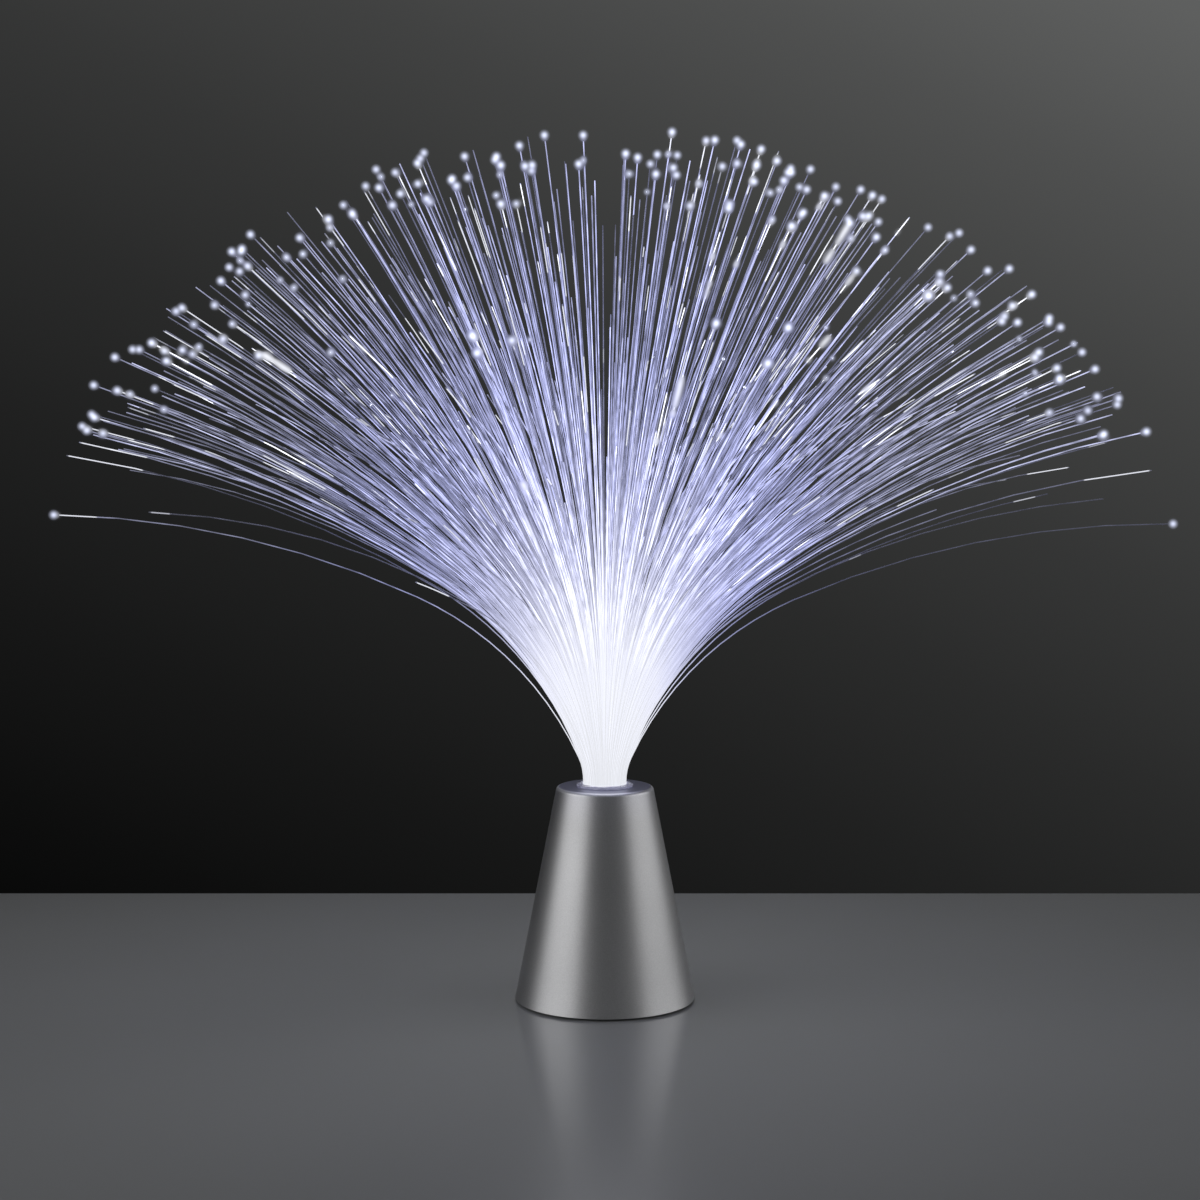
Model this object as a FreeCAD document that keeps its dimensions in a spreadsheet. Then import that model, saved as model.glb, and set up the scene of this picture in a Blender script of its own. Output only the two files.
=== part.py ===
"""Fiber optic lamp: a battery base with a lift-out spray of light-guiding fibres.

The origin is the centre of the base on the surface that the lamp stands on.
+Z points up and -Y is the front. All lengths are millimetres.
"""
import FreeCAD, Part
import Sketcher
import math
import os
import re
from FreeCAD import Rotation, Vector

doc = FreeCAD.newDocument("FiberOpticLamp")

# ---------------------------------------------------------------------------
# Driving dimensions
# ---------------------------------------------------------------------------
SIZES = {
    # conical shell
    "base_radius": 35.0,
    "top_radius": 18.7,
    "shell_wall": 2.0,
    "top_wall": 2.4,
    "rim_round": 1.6,
    "shell_gap": 0.8,
    # bottom cover and its three screws
    "cover_gap": 1.2,
    "cover_thick": 3.2,
    "cover_play": 0.15,
    "boss_inset": 8.2,
    "boss_radius": 3.0,
    "boss_height": 26.0,
    # screws: large ones hold the cover and the door, small ones the rest
    "screw_radius": 1.1,
    "screw_head": 2.1,
    "screw_taper": 1.1,
    "screw_length": 11.0,
    "door_screw_length": 7.0,
    "small_radius": 0.9,
    "small_head": 1.7,
    "small_taper": 0.9,
    "tray_screw_length": 8.0,
    "board_screw_length": 7.2,
    "switch_screw_length": 3.6,
    "screw_play": 0.05,
    "pilot_spare": 0.3,
    "recess_wide": 0.5,
    "recess_deep": 0.6,
    # rubber feet
    "foot_inset": 7.0,
    "foot_radius": 3.5,
    "foot_seat": 0.6,
    "foot_play": 0.1,
    # battery door in the cover
    "door_thick": 2.0,
    "door_play": 0.2,
    "door_lap": 1.9,
    "ring_wall": 1.1,
    "ring_height": 0.9,
    "ear_radius": 2.6,
    "ear_offset": 3.18,
    "notch_radius": 6.5,
    "notch_deep": 2.0,
    "nut_height": 5.0,
    # three AA cells
    "cell_radius": 7.1,
    "cell_length": 50.5,
    "nub_radius": 2.75,
    "nub_height": 1.0,
    "cell_web": 0.8,
    "well_play": 0.4,
    # contacts
    "strip_thick": 0.4,
    "strip_width": 5.4,
    "pad_radius": 4.3,
    "arm_width": 3.2,
    "dimple_radius": 1.6,
    "dimple_tip": 1.0,
    "dimple_height": 0.6,
    "spring_height": 4.4,
    "spring_play": 0.25,
    "spring_sheet": 0.3,
    "spring_width": 4.0,
    "rail_width": 3.6,
    "rail_play": 0.15,
    "rail_inset": 3.3,
    "tab_offset": 3.0,
    "tab_width": 2.6,
    "tab_height": 1.8,
    "finger_height": 6.0,
    # battery tray
    "tray_wall": 1.2,
    "tray_end": 2.0,
    "lug_offset": 3.8,
    "lug_radius": 2.8,
    "lug_height": 9.0,
    "rib_overlap": 2.0,
    "core_radius": 2.3,
    "post_radius": 2.0,
    "post_height": 3.1,
    # light engine
    "board_radius": 16.0,
    "board_thick": 1.6,
    "board_inset": 1.9,
    "led_radius": 2.4,
    "led_rim": 2.7,
    "led_rim_height": 0.8,
    "led_height": 5.1,
    "led_gap": 0.3,
    "lead_radius": 0.25,
    "lead_gap": 1.27,
    "lead_tail": 1.2,
    "chip_height": 0.8,
    "chip_length": 5.0,
    "chip_width": 4.0,
    "chip_offset": 9.0,
    "resistor_length": 3.2,
    "resistor_width": 1.6,
    "resistor_offset": 3.0,
    "cup_flange": 1.8,
    "cup_wall": 2.15,
    "mirror_radius": 6.6,
    "light_gap": 1.3,
    # ferrule that holds the bundle
    "ferrule_radius": 10.0,
    "ferrule_play": 0.05,
    "ferrule_depth": 11.4,
    "flange_radius": 11.0,
    "flange_thick": 0.8,
    "ferrule_wall": 1.25,
    "hole_play": 0.3,
    "key_width": 1.5,
    "key_reach": 0.55,
    "key_play": 0.12,
    "key_root": 0.6,
    "key_start": 2.0,
    "root_length": 6.0,
    "glue_play": 0.02,
    "bead_play": 0.1,
    "bead_height": 0.6,
    "bead_width": 1.5,
    # slide switch
    "switch_inset": 9.5,
    "switch_width": 5.8,
    "switch_length": 11.6,
    "switch_height": 5.6,
    "switch_ear": 4.0,
    "ear_thick": 1.2,
    "slider_width": 4.0,
    "slider_length": 4.4,
    "slider_thick": 2.0,
    "slider_play": 0.1,
    "knob_width": 2.8,
    "knob_length": 3.4,
    "knob_gap": 1.5,
    "knob_play": 0.2,
    "knob_groove": 0.3,
    "switch_travel": 4.0,
    "thumb_deep": 1.2,
    "thumb_margin": 2.2,
    "thumb_flare": 1.2,
    "terminal_wide": 2.0,
    "terminal_thick": 0.5,
    "terminal_high": 2.0,
    # wires
    "wire_radius": 0.5,
    "wire_gap": 1.6,
    # fibres
    "fibre_radius": 0.2,
    "fibre_gap": 0.02,
    "fibre_play": 0.25,
    "fibre_length": 251.0,
    "neck_length": 10.0,
    "bend_length": 90.0,
    "collar_rise": 0.8,
}
TUFT_COUNT = 16
THIRDS = (0, 120, 240)
CELL_TURN = 90
LUG_TURN = 30
EAR_TURN = 180
TAB_TURN = 65
RECESS_SHARE = 1.2

sheet = doc.addObject("Spreadsheet::Sheet", "Sizes")
for row, (alias, number) in enumerate(SIZES.items(), start=1):
    sheet.set(f"A{row}", alias.replace("_", " "))
    sheet.set(f"B{row}", str(number))
    sheet.setAlias(f"B{row}", alias)
doc.recompute()


def formula(text):
    """Point every size named in the text at its cell in the sheet."""
    return re.sub(r"[a-z_]+", lambda word: f"Sizes.{word[0]}" if word[0] in SIZES else word[0], text)


def value(text):
    """Work out a formula as a plain number."""
    return float(sheet.evalExpression(formula(text)))


# ---------------------------------------------------------------------------
# Levels and radii that several pieces share
# ---------------------------------------------------------------------------
COVER_TOP = "(cover_gap + cover_thick)"
DOOR_TOP = "(cover_gap + door_thick)"
STRIP_TOP = f"({DOOR_TOP} + strip_thick)"
SPRUNG_CELL = f"({STRIP_TOP} + spring_height)"
NUB_DOWN_CELL = f"({STRIP_TOP} + dimple_height)"
TOP_STRIP = f"({SPRUNG_CELL} + cell_length + dimple_height)"
TRAY_END = f"({TOP_STRIP} + strip_thick)"
TRAY_TOP = f"({TRAY_END} + tray_end)"
BOARD = f"({TRAY_TOP} + post_height)"
BOARD_TOP = f"({BOARD} + board_thick)"
CUP_STEP = f"({BOARD_TOP} + cup_flange)"
LED_TIP = f"({BOARD_TOP} + led_height)"
FERRULE_END = f"({LED_TIP} + light_gap)"
SHELL_TOP = f"({FERRULE_END} + ferrule_depth)"
CUP_TOP = f"({SHELL_TOP} - top_wall)"
COLLAR_TOP = f"({SHELL_TOP} + flange_thick)"
ROOT_TOP = f"({FERRULE_END} + root_length)"

SLOPE = f"((base_radius - top_radius) / ({SHELL_TOP} - shell_gap))"
SIDE_WALL = f"(shell_wall * sqrt(1 + {SLOPE} * {SLOPE}))"
CELL_CIRCLE = "((2 * (cell_radius + well_play) + cell_web) / sqrt(3))"
WELL_RADIUS = "(cell_radius + well_play)"
TRAY_RADIUS = f"({CELL_CIRCLE} + {WELL_RADIUS} + tray_wall)"
CORE_CIRCLE = f"({TRAY_RADIUS} - tray_wall - core_radius)"
LUG_CIRCLE = f"({TRAY_RADIUS} + lug_offset)"
DOOR_OPENING = f"({TRAY_RADIUS} - tray_wall + door_play)"
DOOR_RADIUS = f"({DOOR_OPENING} + door_lap)"
EAR_CIRCLE = f"({TRAY_RADIUS} + ear_offset)"
BOSS_CIRCLE = "(base_radius - boss_inset)"
FOOT_CIRCLE = "(base_radius - foot_inset)"
SWITCH_X = "(base_radius - switch_inset)"
SWITCH_SCREW_Y = "(switch_length / 2 + switch_ear / 2)"
BOARD_SCREW_CIRCLE = "(board_radius - board_inset)"
SOCKET_RADIUS = "(ferrule_radius + ferrule_play)"
CUP_RADIUS = f"({SOCKET_RADIUS} + cup_wall)"
HOLE_RADIUS = "(ferrule_radius + hole_play)"
FERRULE_BORE = "(ferrule_radius - ferrule_wall)"
BUNDLE_RADIUS = f"({FERRULE_BORE} - fibre_play - fibre_radius)"
LED_CIRCLE = "((2 * led_rim + led_gap) / sqrt(3))"
RAIL_CIRCLE = f"({TRAY_RADIUS} - rail_inset)"


def outer_radius(level):
    """The cone's outer radius at a level."""
    return f"(base_radius - ({level} - shell_gap) * {SLOPE})"


def inner_radius(level):
    """The cone's inner radius at a level."""
    return f"({outer_radius(level)} - {SIDE_WALL})"


# ---------------------------------------------------------------------------
# Building blocks
# ---------------------------------------------------------------------------
parts = {}


def keep(name, item):
    """Name a finished sub-part and list it for export."""
    item.Label = name
    parts[name] = item
    return item


def bind(item, sizes):
    """Bind properties of an object to formulas on the sheet."""
    for path, text in sizes.items():
        item.setExpression(path, formula(str(text)))
    return item


def cylinder(name, radius, low, high, x="0", y="0"):
    item = doc.addObject("Part::Cylinder", name)
    return bind(item, {
        "Radius": radius,
        "Height": f"{high} - {low}",
        "Placement.Base.x": x,
        "Placement.Base.y": y,
        "Placement.Base.z": low,
    })


def cone(name, radius_low, radius_high, low, high, x="0", y="0"):
    item = doc.addObject("Part::Cone", name)
    return bind(item, {
        "Radius1": radius_low,
        "Radius2": radius_high,
        "Height": f"{high} - {low}",
        "Placement.Base.x": x,
        "Placement.Base.y": y,
        "Placement.Base.z": low,
    })


def box(name, wide, deep, low, high, x="0", y="0", turn=0):
    """A box centred on (x, y) and turned about its own upright axis."""
    item = doc.addObject("Part::Box", name)
    item.Placement.Rotation = Rotation(Vector(0, 0, 1), turn)
    return bind(item, {
        "Length": wide,
        "Width": deep,
        "Height": f"{high} - {low}",
        "Placement.Base.x": f"{x} - ({wide}) / 2 * cos({turn}) + ({deep}) / 2 * sin({turn})",
        "Placement.Base.y": f"{y} - ({wide}) / 2 * sin({turn}) - ({deep}) / 2 * cos({turn})",
        "Placement.Base.z": low,
    })


def ball(name, radius, level, x="0", y="0"):
    item = doc.addObject("Part::Sphere", name)
    return bind(item, {
        "Radius": radius,
        "Placement.Base.x": x,
        "Placement.Base.y": y,
        "Placement.Base.z": level,
    })


def around(circle, turn):
    """The x and y formulas of a point on a circle."""
    return {"x": f"({circle}) * cos({turn})", "y": f"({circle}) * sin({turn})"}


def fused(name, items):
    item = doc.addObject("Part::MultiFuse", name)
    item.Shapes = items
    return item


def cut(name, base, tools):
    item = doc.addObject("Part::Cut", name)
    item.Base = base
    item.Tool = tools[0] if len(tools) == 1 else fused(f"{name}_tools", tools)
    return item


def common(name, items):
    item = doc.addObject("Part::MultiCommon", name)
    item.Shapes = items
    return item


def group(name, items):
    """Several separate solids kept as one sub-part."""
    item = doc.addObject("Part::Compound", name)
    item.Links = items
    return item


def turned(name, points):
    """A PartDesign body turned about the upright axis from (radius, level) points."""
    body = doc.addObject("PartDesign::Body", name)
    plane = next(item for item in body.Origin.OriginFeatures if item.Role == "XZ_Plane")
    sketch = body.newObject("Sketcher::SketchObject", f"{name}_profile")
    sketch.AttachmentSupport = [(plane, "")]
    sketch.MapMode = "FlatFace"
    corners = [Vector(value(radius), value(level), 0) for radius, level in points]
    for index, corner in enumerate(corners):
        following = corners[(index + 1) % len(corners)]
        sketch.addGeometry(Part.LineSegment(corner, following), False)
    for index, (radius, level) in enumerate(points):
        line_before = (index - 1) % len(points)
        sketch.addConstraint(Sketcher.Constraint("Coincident", line_before, 2, index, 1))
        across = sketch.addConstraint(Sketcher.Constraint("DistanceX", -1, 1, index, 1, corners[index].x))
        sketch.setExpression(f"Constraints[{across}]", formula(radius))
        along = sketch.addConstraint(Sketcher.Constraint("DistanceY", -1, 1, index, 1, corners[index].y))
        sketch.setExpression(f"Constraints[{along}]", formula(level))
    revolution = body.newObject("PartDesign::Revolution", f"{name}_turned")
    revolution.Profile = sketch
    revolution.ReferenceAxis = (sketch, ["V_Axis"])
    revolution.Angle = 360
    return body


def rounded(body, radius, edge_radius, edge_level):
    """Round the circular edges of a turned body that lie at a radius and level."""
    doc.recompute()
    names = []
    for index, edge in enumerate(body.Shape.Edges, start=1):
        box_of_edge = edge.BoundBox
        right_size = abs(box_of_edge.XMax - value(edge_radius)) < 0.01
        right_level = abs(box_of_edge.ZMin - value(edge_level)) < 0.01 and box_of_edge.ZLength < 0.01
        if right_size and right_level:
            names.append(f"Edge{index}")
    solid = body.Tip
    fillet = body.newObject("PartDesign::Fillet", f"{body.Name}_round")
    fillet.Base = (solid, names)
    bind(fillet, {"Radius": radius})
    return body


def screw(name, size, length, head_level, x, y, upward=True):
    """A countersunk screw with a cross recess; upward ones enter from below."""
    radius, head, taper = f"{size}_radius", f"{size}_head", f"{size}_taper"
    if upward:
        neck, tip = f"({head_level} + {taper})", f"({head_level} + {length})"
        head_solid = cone(f"{name}_head", head, radius, head_level, neck, x, y)
        shank = cylinder(f"{name}_shank", radius, neck, tip, x, y)
        low, high = head_level, f"({head_level} + recess_deep)"
    else:
        neck, tip = f"({head_level} - {taper})", f"({head_level} - {length})"
        head_solid = cone(f"{name}_head", radius, head, neck, head_level, x, y)
        shank = cylinder(f"{name}_shank", radius, tip, neck, x, y)
        low, high = f"({head_level} - recess_deep)", head_level
    blank = fused(f"{name}_blank", [head_solid, shank])
    slots = []
    for turn in (45, 135):
        slots.append(box(f"{name}_slot{turn}", f"{head} * {RECESS_SHARE}", "recess_wide",
                         low, high, x, y, turn))
    return cut(name, blank, slots)


def countersink(name, size, head_level, end, x, y, upward=True):
    """The room that a countersunk screw takes in the piece that it holds."""
    radius, head, taper = f"({size}_radius + screw_play)", f"({size}_head + screw_play)", f"{size}_taper"
    if upward:
        neck = f"({head_level} + {taper})"
        flare = cone(f"{name}_flare", head, radius, head_level, neck, x, y)
        return [flare, cylinder(f"{name}_bore", radius, neck, end, x, y)]
    neck = f"({head_level} - {taper})"
    flare = cone(f"{name}_flare", radius, head, neck, head_level, x, y)
    return [flare, cylinder(f"{name}_bore", radius, end, neck, x, y)]


def pilot(name, size, low, high, x, y):
    """The hole that a screw's shank sits in."""
    return cylinder(name, f"({size}_radius + screw_play)", low, high, x, y)


# ---------------------------------------------------------------------------
# Base: conical shell, bottom cover, feet and battery door
# ---------------------------------------------------------------------------
def make_shell():
    """The cone is turned hollow, then gets screw bosses and the socket for the ferrule."""
    hollow = turned("shell_turned", [
        ("base_radius", "shell_gap"),
        ("top_radius", SHELL_TOP),
        (HOLE_RADIUS, SHELL_TOP),
        (HOLE_RADIUS, CUP_TOP),
        (inner_radius(CUP_TOP), CUP_TOP),
        (inner_radius("shell_gap"), "shell_gap"),
    ])
    rounded(hollow, "rim_round", "top_radius", SHELL_TOP)
    limit = cone("boss_limit", "base_radius", "top_radius", "shell_gap", SHELL_TOP)
    pieces = [hollow]
    for number, turn in enumerate(THIRDS, start=1):
        place = around(BOSS_CIRCLE, CELL_TURN + turn)
        boss = cylinder(f"boss_{number}", "boss_radius", COVER_TOP, "boss_height", **place)
        pieces.append(common(f"boss_in_cone_{number}", [boss, limit]))
    holes = []
    for number, turn in enumerate(THIRDS, start=1):
        place = around(BOSS_CIRCLE, CELL_TURN + turn)
        high = "(cover_gap + screw_length + pilot_spare)"
        holes.append(pilot(f"boss_pilot_{number}", "screw", COVER_TOP, high, **place))
    key_y = "(ferrule_radius + key_reach + key_play)"
    holes.append(box("shell_key_slot", "(key_width + 2 * key_play)", key_y, CUP_TOP, SHELL_TOP,
                     y=f"({key_y} / 2)"))
    keep("cone_shell", cut("shell_cut", fused("shell_blank", pieces), holes))


def make_cover():
    """The bottom cover closes the cone and carries the door, the switch and the feet."""
    disc = cylinder("cover_disc", f"{inner_radius(COVER_TOP)} - cover_play", "cover_gap", COVER_TOP)
    nut_place = around(EAR_CIRCLE, EAR_TURN)
    nut = cylinder("door_nut_boss", "ear_radius", COVER_TOP, f"({COVER_TOP} + nut_height)", **nut_place)
    holes = [
        cylinder("door_opening", DOOR_OPENING, "cover_gap", COVER_TOP),
        cylinder("door_recess", f"({DOOR_RADIUS} + door_play)", "cover_gap", DOOR_TOP),
        box("ear_recess", EAR_CIRCLE, "2 * (ear_radius + door_play)", "cover_gap", DOOR_TOP,
            x=f"-{EAR_CIRCLE} / 2"),
        cylinder("ear_recess_end", "(ear_radius + door_play)", "cover_gap", DOOR_TOP, **nut_place),
        pilot("door_nut_pilot", "screw", DOOR_TOP, f"({COVER_TOP} + nut_height)", **nut_place),
    ]
    for number, turn in enumerate(THIRDS, start=1):
        boss_place = around(BOSS_CIRCLE, CELL_TURN + turn)
        lug_place = around(LUG_CIRCLE, LUG_TURN + turn)
        foot_place = around(FOOT_CIRCLE, LUG_TURN + turn)
        holes += countersink(f"cover_sink_{number}", "screw", "cover_gap", COVER_TOP, **boss_place)
        holes += countersink(f"tray_sink_{number}", "small", "cover_gap", COVER_TOP, **lug_place)
        holes.append(cylinder(f"foot_seat_{number}", "(foot_radius + foot_play)", "cover_gap",
                              "(cover_gap + foot_seat)", **foot_place))
    slot_long = "(knob_length + switch_travel + 2 * knob_play)"
    thumb = "(cover_gap + thumb_deep)"
    holes.append(box("knob_slot", "(knob_width + 2 * knob_play)", slot_long, thumb, COVER_TOP, x=SWITCH_X))
    holes.append(box("thumb_recess", "(knob_width + 2 * knob_play + thumb_flare)",
                     f"({slot_long} + 2 * thumb_margin)", "cover_gap", thumb, x=SWITCH_X))
    for side in (-1, 1):
        low = f"({COVER_TOP} + ear_thick - switch_screw_length - pilot_spare)"
        holes.append(pilot(f"switch_pilot_{side + 2}", "small", low, COVER_TOP, SWITCH_X,
                           f"{side} * {SWITCH_SCREW_Y}"))
    keep("base_cover", cut("cover_cut", fused("cover_blank", [disc, nut]), holes))


def make_feet():
    feet = []
    for number, turn in enumerate(THIRDS, start=1):
        place = around(FOOT_CIRCLE, LUG_TURN + turn)
        feet.append(cylinder(f"foot_{number}", "foot_radius", "0", "(cover_gap + foot_seat)", **place))
    keep("foot_pads", group("feet", feet))


def make_door():
    """The door is a disc with a centring ring, an ear for its screw and a notch for a fingernail."""
    ear_place = around(EAR_CIRCLE, EAR_TURN)
    ring_outer = f"({DOOR_OPENING} - door_play)"
    ring_high = f"({DOOR_TOP} + ring_height)"
    ring_solid = cylinder("ring_solid", ring_outer, DOOR_TOP, ring_high)
    ring_hollow = cylinder("ring_hollow", f"({ring_outer} - ring_wall)", DOOR_TOP, ring_high)
    blank = fused("door_blank", [
        cylinder("door_disc", DOOR_RADIUS, "cover_gap", DOOR_TOP),
        box("door_ear", EAR_CIRCLE, "2 * ear_radius", "cover_gap", DOOR_TOP, x=f"-{EAR_CIRCLE} / 2"),
        cylinder("door_ear_end", "ear_radius", "cover_gap", DOOR_TOP, **ear_place),
        cut("door_ring", ring_solid, [ring_hollow]),
    ])
    holes = countersink("door_sink", "screw", "cover_gap", DOOR_TOP, **ear_place)
    holes.append(cylinder("nail_notch", "notch_radius", "cover_gap", "(cover_gap + door_thick / 2)",
                          x=f"({DOOR_RADIUS} + notch_radius - notch_deep)"))
    keep("battery_door", cut("door_cut", blank, holes))


def make_base_screws():
    cover_screws, tray_screws, switch_screws = [], [], []
    for number, turn in enumerate(THIRDS, start=1):
        boss_place = around(BOSS_CIRCLE, CELL_TURN + turn)
        lug_place = around(LUG_CIRCLE, LUG_TURN + turn)
        cover_screws.append(screw(f"cover_screw_{number}", "screw", "screw_length", "cover_gap",
                                  **boss_place))
        tray_screws.append(screw(f"tray_screw_{number}", "small", "tray_screw_length", "cover_gap",
                                 **lug_place))
    for side in (-1, 1):
        head = f"({COVER_TOP} + ear_thick)"
        switch_screws.append(screw(f"switch_screw_{side + 2}", "small", "switch_screw_length", head,
                                   SWITCH_X, f"{side} * {SWITCH_SCREW_Y}", upward=False))
    keep("cover_screws", group("cover_screw_set", cover_screws))
    keep("tray_screws", group("tray_screw_set", tray_screws))
    keep("switch_screws", group("switch_screw_set", switch_screws))
    keep("door_screw", screw("door_bolt", "screw", "door_screw_length", "cover_gap",
                             **around(EAR_CIRCLE, EAR_TURN)))


# ---------------------------------------------------------------------------
# Battery: tray, three AA cells in series and their contacts
# ---------------------------------------------------------------------------
def cell_place(number):
    """Cells 1, 2 and 3 stand a third of a turn apart."""
    return around(CELL_CIRCLE, CELL_TURN + THIRDS[number - 1])


def make_tray():
    """The tray has a well for each cell, slots for the contacts and three screw lugs."""
    low = f"({COVER_TOP} + door_play)"
    lug_top = f"({COVER_TOP} + lug_height)"
    blank = [cylinder("tray_block", TRAY_RADIUS, low, TRAY_TOP)]
    holes = []
    for number, turn in enumerate(THIRDS, start=1):
        angle = LUG_TURN + turn
        lug_place = around(LUG_CIRCLE, angle)
        rib_middle = around(f"(({TRAY_RADIUS} + {LUG_CIRCLE} - rib_overlap) / 2)", angle)
        post_place = around(BOARD_SCREW_CIRCLE, CELL_TURN + turn)
        blank.append(cylinder(f"tray_lug_{number}", "lug_radius", COVER_TOP, lug_top, **lug_place))
        blank.append(box(f"tray_rib_{number}", "(lug_offset + rib_overlap)", "lug_radius", low, lug_top,
                         turn=angle, **rib_middle))
        blank.append(cylinder(f"tray_post_{number}", "post_radius", TRAY_TOP, BOARD, **post_place))
        holes.append(pilot(f"lug_pilot_{number}", "small", COVER_TOP, lug_top, **lug_place))
        holes.append(pilot(f"post_pilot_{number}", "small",
                           f"({CUP_STEP} - board_screw_length - pilot_spare)", BOARD, **post_place))
        holes.append(cylinder(f"well_{number}", WELL_RADIUS, low, TRAY_END, **cell_place(number)))
        if turn:
            holes.append(cylinder(f"tray_core_{number}", "core_radius", low, TRAY_END,
                                  **around(CORE_CIRCLE, angle)))
    rail_slot_deep = "(2 * strip_thick + slider_play + 2 * rail_play)"
    rail_slot_place = around(f"({RAIL_CIRCLE} - (strip_thick + slider_play) / 2)", LUG_TURN)
    holes.append(box("rail_slot", rail_slot_deep, "(rail_width + 2 * rail_play)", low, TRAY_TOP,
                     turn=LUG_TURN, **rail_slot_place))
    holes.append(box("tab_slot", "(strip_thick + 2 * rail_play)", "(tab_width + 2 * rail_play)",
                     TRAY_END, TRAY_TOP, x="tab_offset", y=CELL_CIRCLE, turn=TAB_TURN))
    link_turn = CELL_TURN + (THIRDS[1] + THIRDS[2]) / 2
    holes.append(box("link_slot", "(strip_width + 2 * rail_play)", f"({CELL_CIRCLE} * sqrt(3))",
                     f"({TOP_STRIP} - rail_play)", TRAY_END, turn=link_turn,
                     **around(f"({CELL_CIRCLE} / 2)", link_turn)))
    keep("battery_tray", cut("tray_cut", fused("tray_blank", blank), holes))


def make_cells():
    """Cell 2 stands nub down and the other two nub up, so that they are in series."""
    for number in (1, 2, 3):
        place = cell_place(number)
        nub_down = number == 2
        foot = NUB_DOWN_CELL if nub_down else SPRUNG_CELL
        top = f"({foot} + cell_length)"
        step = f"({foot} + nub_height)" if nub_down else f"({top} - nub_height)"
        can_span = (step, top) if nub_down else (foot, step)
        nub_span = (foot, step) if nub_down else (step, top)
        keep(f"battery_cell_{number}", fused(f"cell_{number}", [
            cylinder(f"can_{number}", "cell_radius", *can_span, **place),
            cylinder(f"nub_{number}", "nub_radius", *nub_span, **place),
        ]))


def link_strip(name, low, first, second):
    """A flat contact strip between two cells, rounded at both ends."""
    high = f"({low} + strip_thick)"
    middle_turn = CELL_TURN + (THIRDS[first - 1] + THIRDS[second - 1]) / 2
    return [
        cylinder(f"{name}_pad_a", "pad_radius", low, high, **cell_place(first)),
        cylinder(f"{name}_pad_b", "pad_radius", low, high, **cell_place(second)),
        box(f"{name}_bar", f"({CELL_CIRCLE} * sqrt(3))", "strip_width", low, high,
            turn=middle_turn + 90, **around(f"({CELL_CIRCLE} / 2)", middle_turn)),
    ]


def dimple(name, level, place, hanging=False):
    """A dimple pressed out of a strip, as a short cone that stands up or hangs down."""
    if hanging:
        return cone(name, "dimple_tip", "dimple_radius", f"({level} - dimple_height)", level, **place)
    return cone(name, "dimple_radius", "dimple_tip", level, f"({level} + dimple_height)", **place)


def make_door_strips():
    """The door carries the link from cell 1 to cell 2 and the terminal of cell 3."""
    door_link = link_strip("door_link", DOOR_TOP, 1, 2)
    door_link.append(dimple("door_dimple", STRIP_TOP, cell_place(2)))
    keep("door_link_strip", fused("door_link", door_link))

    cell_turn = CELL_TURN + THIRDS[2]
    finger_circle = f"({RAIL_CIRCLE} - strip_thick - slider_play)"
    finger_place = around(finger_circle, LUG_TURN)
    span_x = f"({finger_circle} * cos({LUG_TURN}) - {CELL_CIRCLE} * cos({cell_turn}))"
    span_y = f"({finger_circle} * sin({LUG_TURN}) - {CELL_CIRCLE} * sin({cell_turn}))"
    arm_x = f"({CELL_CIRCLE} * cos({cell_turn}) + {span_x} / 2)"
    arm_y = f"({CELL_CIRCLE} * sin({cell_turn}) + {span_y} / 2)"
    arm_turn = math.degrees(math.atan2(value(span_y), value(span_x)))
    keep("door_terminal_strip", fused("door_terminal", [
        cylinder("terminal_pad", "pad_radius", DOOR_TOP, STRIP_TOP, **cell_place(3)),
        box("terminal_arm", f"sqrt({span_x}^2 + {span_y}^2)", "arm_width", DOOR_TOP, STRIP_TOP,
            x=arm_x, y=arm_y, turn=arm_turn),
        box("terminal_tab", "strip_thick", "rail_width", DOOR_TOP, f"({DOOR_TOP} + finger_height)",
            turn=LUG_TURN, **finger_place),
    ]))


def make_top_strips():
    """The tray's top holds the link from cell 2 to cell 3 and the terminal of cell 1."""
    top_link = link_strip("top_link", TOP_STRIP, 2, 3)
    top_link.append(dimple("top_dimple_3", TOP_STRIP, cell_place(3), hanging=True))
    keep("top_link_strip", fused("top_link", top_link))
    keep("top_terminal_strip", fused("top_terminal", [
        cylinder("top_pad", "pad_radius", TOP_STRIP, TRAY_END, **cell_place(1)),
        box("top_tab", "strip_thick", "tab_width", TOP_STRIP, f"({TRAY_TOP} + tab_height)",
            x="tab_offset", y=CELL_CIRCLE, turn=TAB_TURN),
        dimple("top_dimple_1", TOP_STRIP, cell_place(1), hanging=True),
    ]))
    keep("negative_rail", box("rail", "strip_thick", "rail_width", f"({COVER_TOP} + door_play)", BOARD,
                              turn=LUG_TURN, **around(RAIL_CIRCLE, LUG_TURN)))


def bow_spring(name, place, level, hanging=False):
    """A strip of spring sheet bowed into a half ring between a contact strip and a cell."""
    outer = "(spring_height - spring_play)"
    rings = []
    for part_name, radius in (("outside", outer), ("inside", f"({outer} - spring_sheet)")):
        ring = doc.addObject("Part::Cylinder", f"{name}_{part_name}")
        ring.Placement.Rotation = Rotation(Vector(1, 0, 0), 90)
        rings.append(bind(ring, {
            "Radius": radius,
            "Height": "spring_width",
            "Placement.Base.x": place["x"],
            "Placement.Base.y": f"{place['y']} + spring_width / 2",
            "Placement.Base.z": level,
        }))
    hoop = cut(f"{name}_hoop", rings[0], rings[1:])
    low, high = (f"({level} - {outer})", level) if hanging else (level, f"({level} + {outer})")
    half = box(f"{name}_half", f"2 * {outer}", "spring_width", low, high, **place)
    keep(name, common(f"{name}_bow", [hoop, half]))


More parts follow.
